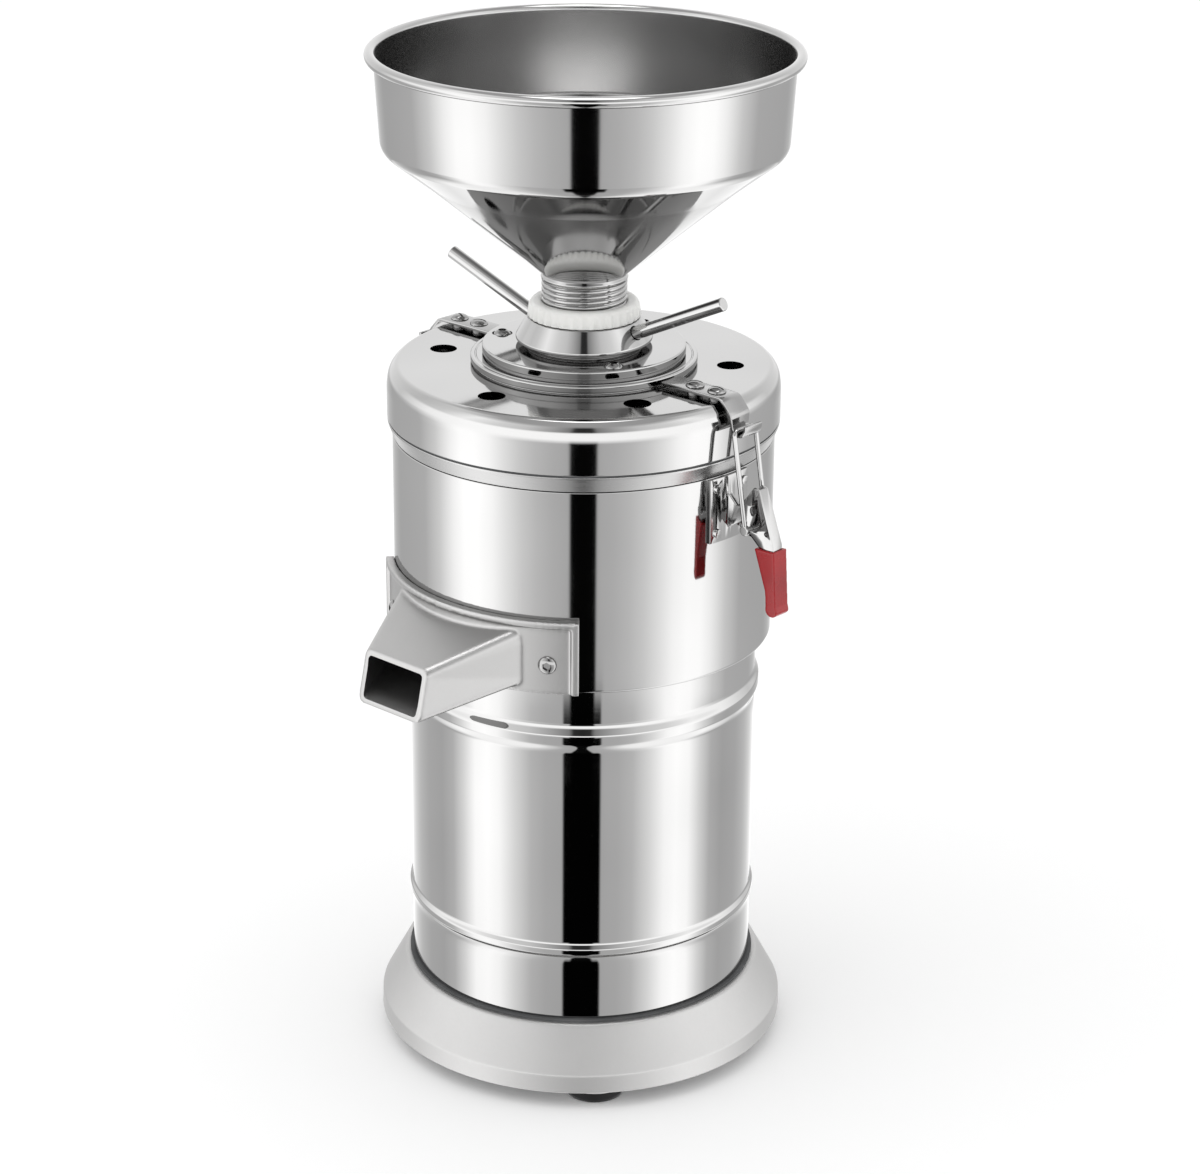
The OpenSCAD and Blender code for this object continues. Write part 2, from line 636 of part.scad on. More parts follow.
module thrust_plate() color([0.82, 0.82, 0.83]) difference() {
    rotate_extrude() polygon([[carrier_radius + running_fit, z_land], [carrier_radius + running_fit, z_plate],
        [plate_radius - 0.8, z_plate], [plate_radius, z_plate - 0.8], [plate_radius, z_land + 2],
        [plate_radius - 1.5, z_land + 2], [plate_radius - 1.5, z_land]]);
    for (a = plate_screw_angles) around(plate_screw_pitch, a) {
        disc(shank_radius + 0.3, z_land - 1, z_plate + 1);
        disc(head_radius + 0.6, z_plate - 1.5, z_plate + 1);
    }
}
module plate_screws() color([0.7, 0.7, 0.72]) for (a = plate_screw_angles) around(plate_screw_pitch, a) {
    disc(shank_radius - 0.1, z_cover_in, z_plate - 1.5 + e);
    difference() {
        disc(head_radius, z_plate - 1.5, z_plate + head_height - 0.5);
        translate([0, 0, z_plate]) cylinder(h = 5, r = 2.5, $fn = 6);
    }
}

module strap(side) rotate([0, 0, side]) color([0.82, 0.82, 0.83]) difference() {
    union() {
        slab([[land_radius + 1.5, strap_level], [strap_reach - 8, strap_level],
            [strap_reach, strap_level - 8], [strap_reach, hook_z + 3],
            [strap_reach + strap_wall, hook_z + 3], [strap_reach + strap_wall, strap_level - 7.2],
            [strap_reach - 7.2, strap_level + strap_wall], [land_radius + 1.5, strap_level + strap_wall]],
            -strap_width / 2, strap_width / 2);
        slab(concat([[strap_reach, hook_z + 4]],
            arc(hook_x, hook_z, hook_radius + strap_wall, 180, 360, 14),
            [[hook_x + hook_radius + strap_wall, hook_z + 1.6], [hook_x + hook_radius + 1, hook_z + 2.4],
             [hook_x + hook_radius, hook_z + 1.6]],
            arc(hook_x, hook_z, hook_radius, 360, 180, 14),
            [[strap_reach + strap_wall, hook_z + 4]]), -hook_width / 2, hook_width / 2);
    }
    for (r = strap_screw_reach) translate([r, 0, 0]) disc(shank_radius + 0.3, strap_level - 1, strap_level + 9);
}
module strap_right() strap(0);
module strap_left() strap(180);
module strap_screws() color([0.7, 0.7, 0.72]) for (s = [0, 180], r = strap_screw_reach) around(r, s) {
    disc(shank_radius - 0.1, strap_level - 6, strap_level + strap_wall + e);
    difference() {
        disc(head_radius, strap_level + strap_wall, strap_level + strap_wall + head_height);
        rotate([0, 0, 35]) translate([-8, -0.7, strap_level + strap_wall + head_height - 1.2])
            cube([16, 1.4, 3]);
    }
}

// ---------------------------------------------------------------- grinding head

module burr_carrier() color([0.7, 0.7, 0.71]) difference() {
    union() {
        disc(carrier_radius, z_flange - e, z_nut - 1.9);
        disc(disc_radius + 2, z_flange - flange_wall, z_flange);
    }
    disc(throat, z_flange - flange_wall - 1, z_nut);
    disc(neck_radius + running_fit, neck_low - 2, z_nut);
}
module upper_disc() color([0.42, 0.42, 0.44]) difference() {
    ring(disc_radius, throat + 4, z_upper, z_flange - flange_wall);
    rotate([180, 0, 0]) translate([0, 0, -z_upper]) grooves(34, 2.6);
}
module spring(angle) color([0.75, 0.75, 0.77]) around(spring_pitch, angle)
    translate([0, 0, z_flange]) linear_extrude(spring_length, twist = -360 * 5, slices = 60, $fn = 10)
        polygon(concat(arc(0, 0, spring_radius + 1.2, 0, 130, 5), arc(0, 0, spring_radius - 1.2, 130, 0, 5)));
module carrier_springs() for (a = [30, 150, 270]) spring(a);

module adjust_collar() color([0.8, 0.8, 0.81]) difference() {
    union() {
        disc(hub_radius, z_plate, z_collar + e);
        rotate_extrude() polygon([[0, z_collar], [collar_radius - 0.8, z_collar], [collar_radius, z_collar + 0.8],
            [collar_radius, z_collar + 1.6], [collar_top_radius, z_nut - 0.5], [collar_top_radius - 0.5, z_nut],
            [0, z_nut]]);
    }
    disc(carrier_radius + running_fit, z_plate - 1, z_nut + 1);
    for (s = [0, 180]) rod_place(s) translate([0, 0, -rod_seat]) cylinder(h = 60, r = rod_radius);
}
rod_seat = 2.6;
rod_start = (collar_radius + collar_top_radius) / 2 - 1;
module rod_place(side) rotate([0, 0, rod_angle + side]) translate([rod_start, 0, z_collar + collar_height * 0.64])
    rotate([0, 90 - rod_rise, 0]) children();
module rod(side) color([0.86, 0.86, 0.87]) rod_place(side) {
    translate([0, 0, -rod_seat]) cylinder(h = rod_length + rod_seat - 0.6, r = rod_radius);
    translate([0, 0, rod_length - 0.6]) cylinder(h = 0.6, r1 = rod_radius, r2 = rod_radius - 0.6);
}
module rod_right() rod(0);
module rod_left() rod(180);

module lock_nut() color([0.93, 0.93, 0.9]) difference() {
    union() {
        translate([0, 0, z_nut + nut_gap]) cylinder(h = nut_height - 1.7, r1 = nut_radius, r2 = nut_radius - 1.1);
        translate([0, 0, z_nut + nut_gap + nut_height - 1.7])
            cylinder(h = 1.7, r1 = nut_radius - 1.1, r2 = nut_radius - 3.4);
    }
    disc(neck_radius + running_fit, z_nut, z_neck);
    for (i = [0:nut_ribs - 1]) around(nut_radius + 0.6, i * 360 / nut_ribs)
        disc(1.5, z_nut, z_nut + nut_gap + nut_height - 2.4);
}

neck_low = z_nut - 30;
module neck() color([0.78, 0.78, 0.79]) ring(neck_radius, neck_bore, neck_low, z_neck);

module hopper() color([0.88, 0.88, 0.89]) rotate_extrude() union() {
    polygon(concat(
        [[neck_bore, z_neck], [neck_radius - 0.1, z_neck], [hopper_foot_radius - 5, z_wall - 1]],
        [for (p = arc(hopper_foot_radius - 8, z_wall + 6, 8, -36, 0, 4)) p],
        [[hopper_radius, z_lip], [hopper_radius - hopper_wall, z_lip]],
        [for (p = arc(hopper_foot_radius - 8, z_wall + 6, 8 - hopper_wall, 0, -46, 4)) p]));
    difference() {
        translate([hopper_radius + lip_radius - hopper_wall, z_lip]) circle(r = lip_radius, $fn = 48);
        translate([hopper_radius + lip_radius - hopper_wall, z_lip]) circle(r = lip_radius - hopper_wall, $fn = 48);
    }
}

// ---------------------------------------------------------------- latches

saddle_low = wrist_z - 12;
saddle_high = pivot_z + 16;
module latch_bracket(side) rotate([0, 0, side]) color([0.75, 0.75, 0.76]) {
    intersection() {
        ring(drum_radius + 2.2, drum_radius, saddle_low, saddle_high);
        translate([drum_radius - 20, -16, saddle_low]) cube([40, 32, saddle_high - saddle_low]);
    }
    difference() {
        union() for (s = [-1, 1]) {
            low = s > 0 ? ear_half - lever_wall : -ear_half;
            slab([[drum_radius + 1, wrist_z - 6], [pivot_reach - 4, pivot_z - 4.4],
                [pivot_reach, pivot_z], [pivot_reach - 3, pivot_z + 4.6], [pivot_reach - 6, pivot_z + 3.2],
                [pivot_reach - 13, pivot_z - 0.8], [pivot_reach - 14.8, pivot_z - 0.8],
                [drum_radius + 1, pivot_z + 6]], low, low + lever_wall);
            rod_y(pivot_reach, pivot_z, 6, low, low + lever_wall);
        }
        rod_y(pivot_reach, pivot_z, pivot_pin + running_fit, -20, 20);
    }
    for (z = [saddle_low + 6, saddle_high - 6], s = [-1, 1]) translate([drum_radius + 1.2, s * 11.4, z])
        rotate([0, 90, 0]) cylinder(h = 2.4, r = 2.6);
}
module latch_bracket_right() latch_bracket(0);
module latch_bracket_left() latch_bracket(180);

// Outline of the lever's back, from its rounded top to its end inside the grip
lever_top = [pivot_reach + 4, pivot_z + 13];
lever_bend = [pivot_reach + 15.5, pivot_z - 18.4];
lever_end = [pivot_reach + 17.5, pivot_z - 57];
// A point on the lever's back, at a height above its lower end
function back_at(h) = lever_end + [lever_bend[0] - lever_end[0], lever_bend[1] - lever_end[1]]
    * h / (lever_bend[1] - lever_end[1]);
grip_top = back_at(lever_bend[1] - lever_end[1] - 2.6);
lever_depth = 11;
web_end = 11;

module latch_lever(side) rotate([0, 0, side]) color([0.8, 0.8, 0.81]) difference() {
    union() {
        slab([lever_top, lever_top - [lever_wall, 0], lever_bend - [lever_wall, 0],
            lever_end - [lever_wall, 0], lever_end, lever_bend], -lever_half, lever_half);
        for (s = [-1, 1]) {
            low = s > 0 ? lever_half - lever_wall : -lever_half;
            slab(concat([lever_top, lever_top + [-4, 0.8]], arc(pivot_reach, pivot_z, 8.5, 130, 190, 5),
                arc(wrist_x, wrist_z, 5.2, 185, 270, 5),
                [lever_bend - [lever_depth, 2.6], back_at(web_end) - [lever_wall, 0], back_at(web_end),
                 lever_bend]), low, low + lever_wall);
        }
    }
    rod_y(pivot_reach, pivot_z, pivot_pin + running_fit, -20, 20);
    rod_y(wrist_x, wrist_z, wrist_bore, -20, 20);
    rod_y(pivot_reach + 10, pivot_z - 12, 1.5, -20, 20);
}
module latch_lever_right() latch_lever(0);
module latch_lever_left() latch_lever(180);

module latch_pin(side) rotate([0, 0, side]) color([0.7, 0.7, 0.72]) difference() {
    rod_y(pivot_reach, pivot_z, pivot_pin, -lever_half, lever_half);
    rod_y(pivot_reach, pivot_z, 0.8, -lever_half - 1, -lever_half + 1);
}
module latch_pins() for (side = [0, 180]) latch_pin(side);

// The sleeve follows the lever, with a thick round back and a tapering web
module grip(side) rotate([0, 0, side]) color([0.6, 0.02, 0.03]) difference() {
    slab(concat([grip_top + [grip_wall, 0], grip_top - [lever_depth + grip_wall, 0.6],
         back_at(web_end) - [lever_wall + grip_wall + 2.2, 0], back_at(3) - [lever_wall + grip_wall + 2, 0]],
        arc(lever_end[0] - 1.2, lever_end[1] + 0.8, grip_wall + 2.6, 195, 345, 8),
        [back_at(3) + [grip_wall + 0.4, 0]]), -lever_half - grip_wall, lever_half + grip_wall);
    slab([lever_bend + [grip_gap, 20], lever_bend + [grip_gap, 0], lever_end + [grip_gap, -grip_gap],
        lever_end - [lever_wall + grip_gap, grip_gap], back_at(web_end) - [lever_wall + grip_gap, grip_gap],
        lever_bend - [lever_depth + grip_gap, 2.6 + grip_gap], lever_bend - [lever_depth + grip_gap, -20]],
        -lever_half - grip_gap, lever_half + grip_gap);
}
module grip_right() grip(0);
module grip_left() grip(180);

module bail(side) rotate([0, 0, side]) color([0.85, 0.85, 0.86]) {
    dx = bail_x - wrist_x;
    dz = bail_z - wrist_z;
    rod_y(bail_x, bail_z, wire_radius, -leg_half, leg_half);
    for (s = [-1, 1]) {
        translate([bail_x, s * leg_half, bail_z]) sphere(r = wire_radius);
        translate([wrist_x, s * leg_half, wrist_z]) rotate([0, atan2(dx, dz), 0])
            cylinder(h = norm([dx, dz]), r = wire_radius);
        rod_y(wrist_x, wrist_z, eye_radius, s * leg_half - wire_radius, s * leg_half + wire_radius);
        stub = s > 0 ? ear_half + 0.4 : -leg_half;
        rod_y(wrist_x, wrist_z, wire_radius, stub, stub + leg_half - ear_half - 0.4);
    }
}
module bail_right() bail(0);
module bail_left() bail(180);

base_casting();
bottom_cover();
foot_front_right();
foot_front_left();
foot_rear_right();
foot_rear_left();
foot_screws();
barrel_gasket();
motor_barrel();
switch_bezel();
switch_pivot();
switch_rocker();
cord_gland();
motor_lower_bell();
motor_upper_bell();
bearings();
stator_core();
stator_windings();
motor_capacitor();
motor_bolts();
motor_shaft();
rotor_core();
cooling_fan();
paste_bowl();
shaft_seal();
paste_scraper();
disc_holder();
lower_disc();
feed_auger();
auger_nut();
drum();
spout();
spout_screws();
rim_ring();
cover_gasket();
cover();
thrust_plate();
plate_screws();
strap_right();
strap_left();
strap_screws();
burr_carrier();
upper_disc();
carrier_springs();
adjust_collar();
rod_right();
rod_left();
lock_nut();
neck();
hopper();
latch_bracket_right();
latch_bracket_left();
latch_lever_right();
latch_lever_left();
latch_pins();
grip_right();
grip_left();
bail_right();
bail_left();
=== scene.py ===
import math
import bpy
import bmesh
from mathutils import Matrix, Vector


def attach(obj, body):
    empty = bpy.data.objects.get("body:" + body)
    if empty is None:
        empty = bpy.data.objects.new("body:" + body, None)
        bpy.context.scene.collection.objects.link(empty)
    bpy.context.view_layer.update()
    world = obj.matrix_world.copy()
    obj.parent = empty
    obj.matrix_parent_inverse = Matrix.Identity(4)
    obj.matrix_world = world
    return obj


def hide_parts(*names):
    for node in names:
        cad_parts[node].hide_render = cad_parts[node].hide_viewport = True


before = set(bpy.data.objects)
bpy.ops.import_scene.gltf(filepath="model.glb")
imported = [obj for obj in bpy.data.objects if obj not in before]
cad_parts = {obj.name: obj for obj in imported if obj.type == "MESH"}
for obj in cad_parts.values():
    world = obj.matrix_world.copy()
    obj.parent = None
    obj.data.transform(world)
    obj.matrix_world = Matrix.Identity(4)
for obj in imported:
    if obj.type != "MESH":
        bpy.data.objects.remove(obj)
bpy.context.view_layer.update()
print("frame:", len(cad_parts), "solids")

# lengths are in millimetres until a mesh is written

def metres(points):
    return [tuple(c * 0.001 for c in p) for p in points]


def shadeByAngle(mesh, degrees=32):
    for face in mesh.polygons:
        face.use_smooth = True
    mesh.set_sharp_from_angle(angle=math.radians(degrees))


def standing(name, mesh, degrees):  # a mesh as a shaded object of the scene
    shadeByAngle(mesh, degrees)
    piece = bpy.data.objects.new(name, mesh)
    bpy.context.scene.collection.objects.link(piece)
    return piece


def meshPiece(name, points, faces, degrees=32):
    mesh = bpy.data.meshes.new(name)
    mesh.from_pydata(metres(points), [], faces)
    work = bmesh.new()
    work.from_mesh(mesh)
    bmesh.ops.remove_doubles(work, verts=work.verts, dist=1e-6)
    bmesh.ops.recalc_face_normals(work, faces=work.faces)
    work.to_mesh(mesh)
    work.free()
    return standing(name, mesh, degrees)


def settle(piece):  # modifiers into a plain mesh
    shot = piece.evaluated_get(bpy.context.evaluated_depsgraph_get())
    mesh = bpy.data.meshes.new_from_object(shot)
    piece.modifiers.clear()
    old = piece.data
    piece.data = mesh
    bpy.data.meshes.remove(old)
    mesh.name = piece.name
    return piece


def fillet(corners, step=9, closed=True):
    # corners are (x, y, radius); straight runs get a short rest beside each arc, so that they shade flat
    out = []
    count = len(corners)
    for i, corner in enumerate(corners):
        p = Vector(corner[:2])
        r = corner[2] if len(corner) > 2 else 0
        a = Vector(corners[i - 1][:2])
        b = Vector(corners[(i + 1) % count][:2])
        u, v = a - p, b - p
        if r <= 0 or (not closed and i in (0, count - 1)) or u.length < 1e-6 or v.length < 1e-6:
            out.append((p.x, p.y))
            continue
        spread = u.angle(v)
        back = min(r / math.tan(spread / 2), 0.46 * u.length, 0.46 * v.length)
        r = back * math.tan(spread / 2)
        u.normalize(), v.normalize()
        centre = p + (u + v).normalized() * r / math.sin(spread / 2)
        start, stop = p + u * back, p + v * back
        rest = min(0.25 * r, 0.3)
        turns = max(2, round(math.degrees(math.pi - spread) / step))
        first = math.atan2(start.y - centre.y, start.x - centre.x)
        sweep = math.atan2(stop.y - centre.y, stop.x - centre.x) - first
        sweep = (sweep + math.pi) % (2 * math.pi) - math.pi
        out.append(tuple(start + u * rest))
        for k in range(turns + 1):
            t = first + sweep * k / turns
            out.append((centre.x + r * math.cos(t), centre.y + r * math.sin(t)))
        out.append(tuple(stop + v * rest))
    return out


def turned(name, profile, steps=256, degrees=32, begin=0, sweep=360):
    # a closed (radius, height) outline turned about the upright axis
    whole = sweep >= 360
    rings = steps if whole else steps + 1
    size = len(profile)
    points, faces = [], []
    for k in range(rings):
        t = math.radians(begin + sweep * k / steps)
        points += [(r * math.cos(t), r * math.sin(t), z) for r, z in profile]
    for k in range(steps):
        low, high = k * size, (k + 1) % rings * size
        for i in range(size):
            j = (i + 1) % size
            faces.append((low + i, high + i, high + j, low + j))
    if not whole:
        faces += [tuple(range(size)), tuple(reversed(range(steps * size, (steps + 1) * size)))]
    return meshPiece(name, points, faces, degrees)


def prism(name, outline, low, high, ease=0.4, degrees=32):
    # an outline in a latch's plane (distance, height), given a width and soft edges
    size = len(outline)
    points = [(x, low, z) for x, z in outline] + [(x, high, z) for x, z in outline]
    faces = [tuple(range(size)), tuple(reversed(range(size, 2 * size)))]
    faces += [(i, size + i, size + (i + 1) % size, (i + 1) % size) for i in range(size)]
    piece = meshPiece(name, points, faces, degrees)
    return bevelled(piece, ease, degrees) if ease else piece


def bevelled(piece, width, degrees=32, segments=2):
    edge = piece.modifiers.new("edge", "BEVEL")
    edge.width = width * 0.001
    edge.segments = segments
    edge.limit_method = "ANGLE"
    edge.angle_limit = math.radians(degrees + 6)
    edge.use_clamp_overlap = False
    edge.miter_outer = "MITER_ARC"
    settle(piece)
    shadeByAngle(piece.data, degrees)
    return piece


def swept(name, path, radius, sides=16):
    # a round wire along a path of points
    points, faces = [], []
    path = [Vector(p) for p in path]
    across = None
    for i, p in enumerate(path):
        ahead = path[min(i + 1, len(path) - 1)] - path[max(i - 1, 0)]
        ahead.normalize()
        if across is None:
            across = ahead.orthogonal().normalized()
        across = (across - ahead * across.dot(ahead)).normalized()
        other = ahead.cross(across)
        for k in range(sides):
            t = 2 * math.pi * k / sides
            points.append(tuple(p + (across * math.cos(t) + other * math.sin(t)) * radius))
    for i in range(len(path) - 1):
        for k in range(sides):
            a, b = i * sides + k, i * sides + (k + 1) % sides
            faces.append((a, b, b + sides, a + sides))
    faces += [tuple(range(sides)), tuple(range((len(path) - 1) * sides, len(path) * sides))]
    return meshPiece(name, points, faces, 50)


def joined(name, pieces, degrees=32):  # closed shells in one mesh
    work = bmesh.new()
    for piece in pieces:
        work.from_mesh(piece.data)
        bpy.data.objects.remove(piece)
    mesh = bpy.data.meshes.new(name)
    work.to_mesh(mesh)
    work.free()
    return standing(name, mesh, degrees)


def moved(piece, matrix):  # the place goes into the mesh
    shift = matrix.copy()
    shift.translation = shift.translation * 0.001
    piece.data.transform(shift)
    if matrix.to_3x3().determinant() < 0:
        piece.data.flip_normals()
    return piece


def turn(degrees, axis="Z"):
    return Matrix.Rotation(math.radians(degrees), 4, axis)


def shift(x, y, z):
    return Matrix.Translation((x, y, z))


def rod(radius, low, high, sides=48):  # a plain cutter along Z
    return turned("cutter", [(0, low), (radius, low), (radius, high), (0, high)], sides)


def block(x0, x1, y0, y1, z0, z1):
    return prism("cutter", [(x0, z0), (x1, z0), (x1, z1), (x0, z1)], y0, y1, 0)


def combined(piece, others, how="DIFFERENCE", degrees=32):
    for other in others:
        step = piece.modifiers.new("cut", "BOOLEAN")
        step.operation = how
        step.solver = "EXACT"
        step.object = other
    settle(piece)
    for other in others:
        bpy.data.objects.remove(other)
    shadeByAngle(piece.data, degrees)
    return piece


def softened(name, nodes, width, degrees=32):
    # a merged copy of solids, with its sharp edges eased
    work = bmesh.new()
    for node in nodes:
        work.from_mesh(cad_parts[node].data)
    bmesh.ops.remove_doubles(work, verts=work.verts, dist=2e-6)
    bmesh.ops.dissolve_limit(work, angle_limit=math.radians(0.6), verts=work.verts, edges=work.edges)
    mesh = bpy.data.meshes.new(name)
    work.to_mesh(mesh)
    work.free()
    piece = standing(name, mesh, degrees)
    return bevelled(piece, width, degrees) if width else piece


def moulded(piece, voxel, rounds):
    # remeshed and relaxed, as a dipped or cast surface is
    skin = piece.modifiers.new("skin", "REMESH")
    skin.mode = "VOXEL"
    skin.voxel_size = voxel * 0.001
    relax = piece.modifiers.new("relax", "SMOOTH")
    relax.factor = 0.5
    relax.iterations = rounds
    settle(piece)
    shadeByAngle(piece.data, 60)
    return piece


class Wire:  # one socket that takes part in expressions
    def __init__(self, net, socket):
        self.net, self.socket = net, socket

    def __add__(self, other): return self.net.maths("ADD", self, other)
    def __radd__(self, other): return self.net.maths("ADD", other, self)
    def __sub__(self, other): return self.net.maths("SUBTRACT", self, other)
    def __rsub__(self, other): return self.net.maths("SUBTRACT", other, self)
    def __mul__(self, other): return self.net.maths("MULTIPLY", self, other)
    def __rmul__(self, other): return self.net.maths("MULTIPLY", other, self)
    def __truediv__(self, other): return self.net.maths("DIVIDE", self, other)
    def __rtruediv__(self, other): return self.net.maths("DIVIDE", other, self)
    def __pow__(self, other): return self.net.maths("POWER", self, other)
    def __abs__(self): return self.net.maths("ABSOLUTE", self)

    def clamped(self, low, high):  # 0 at low, 1 at high
        values = {"Value": self, "From Min": low, "From Max": high}
        return self.net.add("ShaderNodeMapRange", {"clamp": True}, values)["Result"]


class Net:
    def __init__(self, tree):
        self.tree = tree
        tree.nodes.clear()

    def add(self, kind, settings=None, values=None):
        node = self.tree.nodes.new(kind)
        for key, value in (settings or {}).items():
            if key == "stops":
                self.setStops(node.color_ramp, value)
            else:
                setattr(node, key, value)
        for key, value in (values or {}).items():
            socket = node.inputs[key]
            if isinstance(value, Wire):
                self.tree.links.new(value.socket, socket)
            else:
                socket.default_value = value
        outputs = {}
        for out in node.outputs:
            if out.enabled:
                outputs[out.name] = Wire(self, out)
        return outputs

    def setStops(self, ramp, stops):
        while len(ramp.elements) > 1:
            ramp.elements.remove(ramp.elements[-1])
        for i, (place, colour) in enumerate(stops):
            stop = ramp.elements[0] if i == 0 else ramp.elements.new(place)
            stop.position = place
            stop.color = colour

    def maths(self, kind, a, b=None):
        values = {0: a} if b is None else {0: a, 1: b}
        return self.add("ShaderNodeMath", {"operation": kind}, values)["Value"]

    def mix(self, amount, a, b):
        node = self.tree.nodes.new("ShaderNodeMix")
        node.data_type = "RGBA"
        for socket, value in ((node.inputs[0], amount), (node.inputs[6], a), (node.inputs[7], b)):
            if isinstance(value, Wire):
                self.tree.links.new(value.socket, socket)
            else:
                socket.default_value = value
        return Wire(self, node.outputs[2])

    def place(self, scale=(1, 1, 1)):
        here = self.add("ShaderNodeTexCoord")["Object"]
        return self.add("ShaderNodeMapping", {}, {"Vector": here, "Scale": scale})["Vector"]

    def split(self, vector):
        parts = self.add("ShaderNodeSeparateXYZ", {}, {"Vector": vector})
        return parts["X"], parts["Y"], parts["Z"]

    def noise(self, scale, detail=3, stretch=(1, 1, 1), rough=0.5):
        values = {"Vector": self.place(stretch), "Scale": scale, "Detail": detail, "Roughness": rough}
        return self.add("ShaderNodeTexNoise", {}, values)["Fac"]


def grey(value, warm=0.0):  # a display value from 0 to 255
    return colour(value + warm, value, value - warm)


def colour(r, g, b):
    parts = [max(c, 0) / 255 for c in (r, g, b)]
    return tuple((c / 12.92 if c <= 0.04045 else ((c + 0.055) / 1.055) ** 2.4) for c in parts) + (1,)


def finish(name, base, roughness, metallic=0.0, bump=None, extra=None):
    # base and roughness are values or functions of the net
    material = bpy.data.materials.new(name)
    material.use_nodes = True
    net = Net(material.node_tree)
    values = {"Metallic": metallic}
    values["Base Color"] = base(net) if callable(base) else base
    values["Roughness"] = roughness(net) if callable(roughness) else roughness
    if bump:
        height, strength, distance = bump(net)
        values["Normal"] = net.add("ShaderNodeBump", {},
            {"Height": height, "Strength": strength, "Distance": distance})["Normal"]
    values.update(extra or {})
    skin = net.add("ShaderNodeBsdfPrincipled", {}, values)["BSDF"]
    net.add("ShaderNodeOutputMaterial", {}, {"Surface": skin})
    return material


polish = {"haze": 0.035, "wave": 0.00012}
bowl = {"corner": 0.562, "wallRadius": 0.1173, "wallSlope": 0.06,  # middle of the hopper's sheet, in metres
        "foot": 0.4866, "footRadius": 0.0245, "coneSlope": 1.222}


def bowlInside(net):  # 1 on the hopper's inner faces, 0 on its outer ones
    x, y, z = net.split(net.place())
    across = (x * x + y * y) ** 0.5
    wall = (z - bowl["corner"]) * bowl["wallSlope"] + bowl["wallRadius"] - across
    cone = (z - bowl["foot"]) * bowl["coneSlope"] + bowl["footRadius"] - across
    return net.maths("MINIMUM", wall, cone).clamped(-0.0002, 0.0003)


def mirrorMetal(name, tone=238, rough=0.04, warm=0.4, lines=0.012, satin=0.0):
    # polished sheet: faint polishing lines round the axis, handling haze, a slow wave
    def base(net):
        return net.mix(net.noise(7, 2).clamped(0.35, 0.7), grey(tone, warm), grey(tone - 9, warm))

    def roughness(net):
        haze = net.noise(16, 4, rough=0.6).clamped(0.5, 0.85)
        fine = net.noise(60, 2, (1, 1, 22)).clamped(0.3, 0.8)
        value = haze * polish["haze"] + fine * lines + rough
        return value + bowlInside(net) * satin if satin else value

    def bump(net):
        return net.noise(11, 1), 0.05, polish["wave"]
    return finish(name, base, roughness, 1.0, bump)


def satinMetal(name, tone, rough, grain=900, depth=0.00008, warm=0.0, strength=0.25, wear=8):
    def base(net):
        return net.mix(net.noise(26, 4), grey(tone, warm), grey(tone - wear, warm))

    def roughness(net):
        return net.noise(grain * 0.4, 3) * 0.12 + (rough - 0.06)

    def bump(net):
        return net.noise(grain, 4, rough=0.65), strength, depth
    return finish(name, base, roughness, 1.0, bump)


def plain(name, tint, dark, rough, grain=500, depth=0.00005, strength=0.3, extra=None, metallic=0.0):
    def base(net):
        return net.mix(net.noise(40, 3).clamped(0.3, 0.75), tint, dark)

    def roughness(net):
        return net.noise(90, 3) * 0.14 + (rough - 0.07)

    def bump(net):
        return net.noise(grain, 3), strength, depth
    gloss = {"Specular IOR Level": 0.28}  # the studio's light is a little over 1 for polished metal
    return finish(name, base, roughness, metallic, bump, {**gloss, **(extra or {})})


drumSteel = mirrorMetal("polished drum steel", 198, 0.05)
barrelSteel = mirrorMetal("polished barrel steel", 198, 0.03)
hopperSteel = mirrorMetal("polished hopper steel", 196, 0.055, satin=0.14)
coverSteel = mirrorMetal("polished cover steel", 198, 0.06)
rimSteel = mirrorMetal("brushed rim steel", 194, 0.22, lines=0.06)
brightMetal = mirrorMetal("bright plated metal", 196, 0.07)
strapSteel = mirrorMetal("rolled strap steel", 176, 0.13, lines=0.05)
threadMetal = mirrorMetal("turned thread metal", 190, 0.14, lines=0.05)
castAlloy = satinMetal("satin cast alloy", 197, 0.4, grain=1300, depth=0.00012, warm=0.6)
baseAlloy = satinMetal("painted base alloy", 206, 0.5, grain=1500, depth=0.0001, warm=0.6)
machinedMetal = satinMetal("machined metal", 170, 0.34, grain=700)
darkIron = satinMetal("grinding iron", 96, 0.5, grain=600, wear=24)
coreIron = satinMetal("laminated core iron", 84, 0.55, grain=500, wear=20)
sheetMetal = satinMetal("galvanised sheet", 150, 0.42, grain=120, wear=30)
screwMetal = mirrorMetal("plated screw metal", 172, 0.1)
copperWire = plain("enamelled copper wire", colour(176, 84, 38), colour(120, 52, 22), 0.32, 400,
    metallic=0.7)
blackRubber = plain("moulded black rubber", colour(26, 26, 27), colour(17, 17, 18), 0.62, 900)
greyGasket = plain("grey gasket", colour(92, 93, 94), colour(70, 71, 72), 0.6, 700)
blackPlastic = plain("moulded black plastic", colour(24, 24, 25), colour(18, 18, 19), 0.4, 1100)
redPlastic = plain("red rocker plastic", colour(178, 22, 20), colour(150, 16, 15), 0.3, 700)
redVinyl = plain("dipped red vinyl", colour(164, 10, 20), colour(132, 4, 12), 0.27, 220, 0.00012, 0.3,
    {"Coat Weight": 0.5, "Coat Roughness": 0.14})
whiteNylon = plain("white nylon", colour(249, 249, 246), colour(240, 240, 237), 0.36, 260, 0.00006, 0.3,
    {"Subsurface Weight": 0.25, "Subsurface Radius": (0.004, 0.004, 0.004), "Subsurface Scale": 1.0})
print("materials:", len(bpy.data.materials))


def paint(piece, material):
    if not piece.material_slots:
        piece.data.materials.append(material)
    for held in piece.material_slots:
        held.link = "OBJECT"
        held.material = material


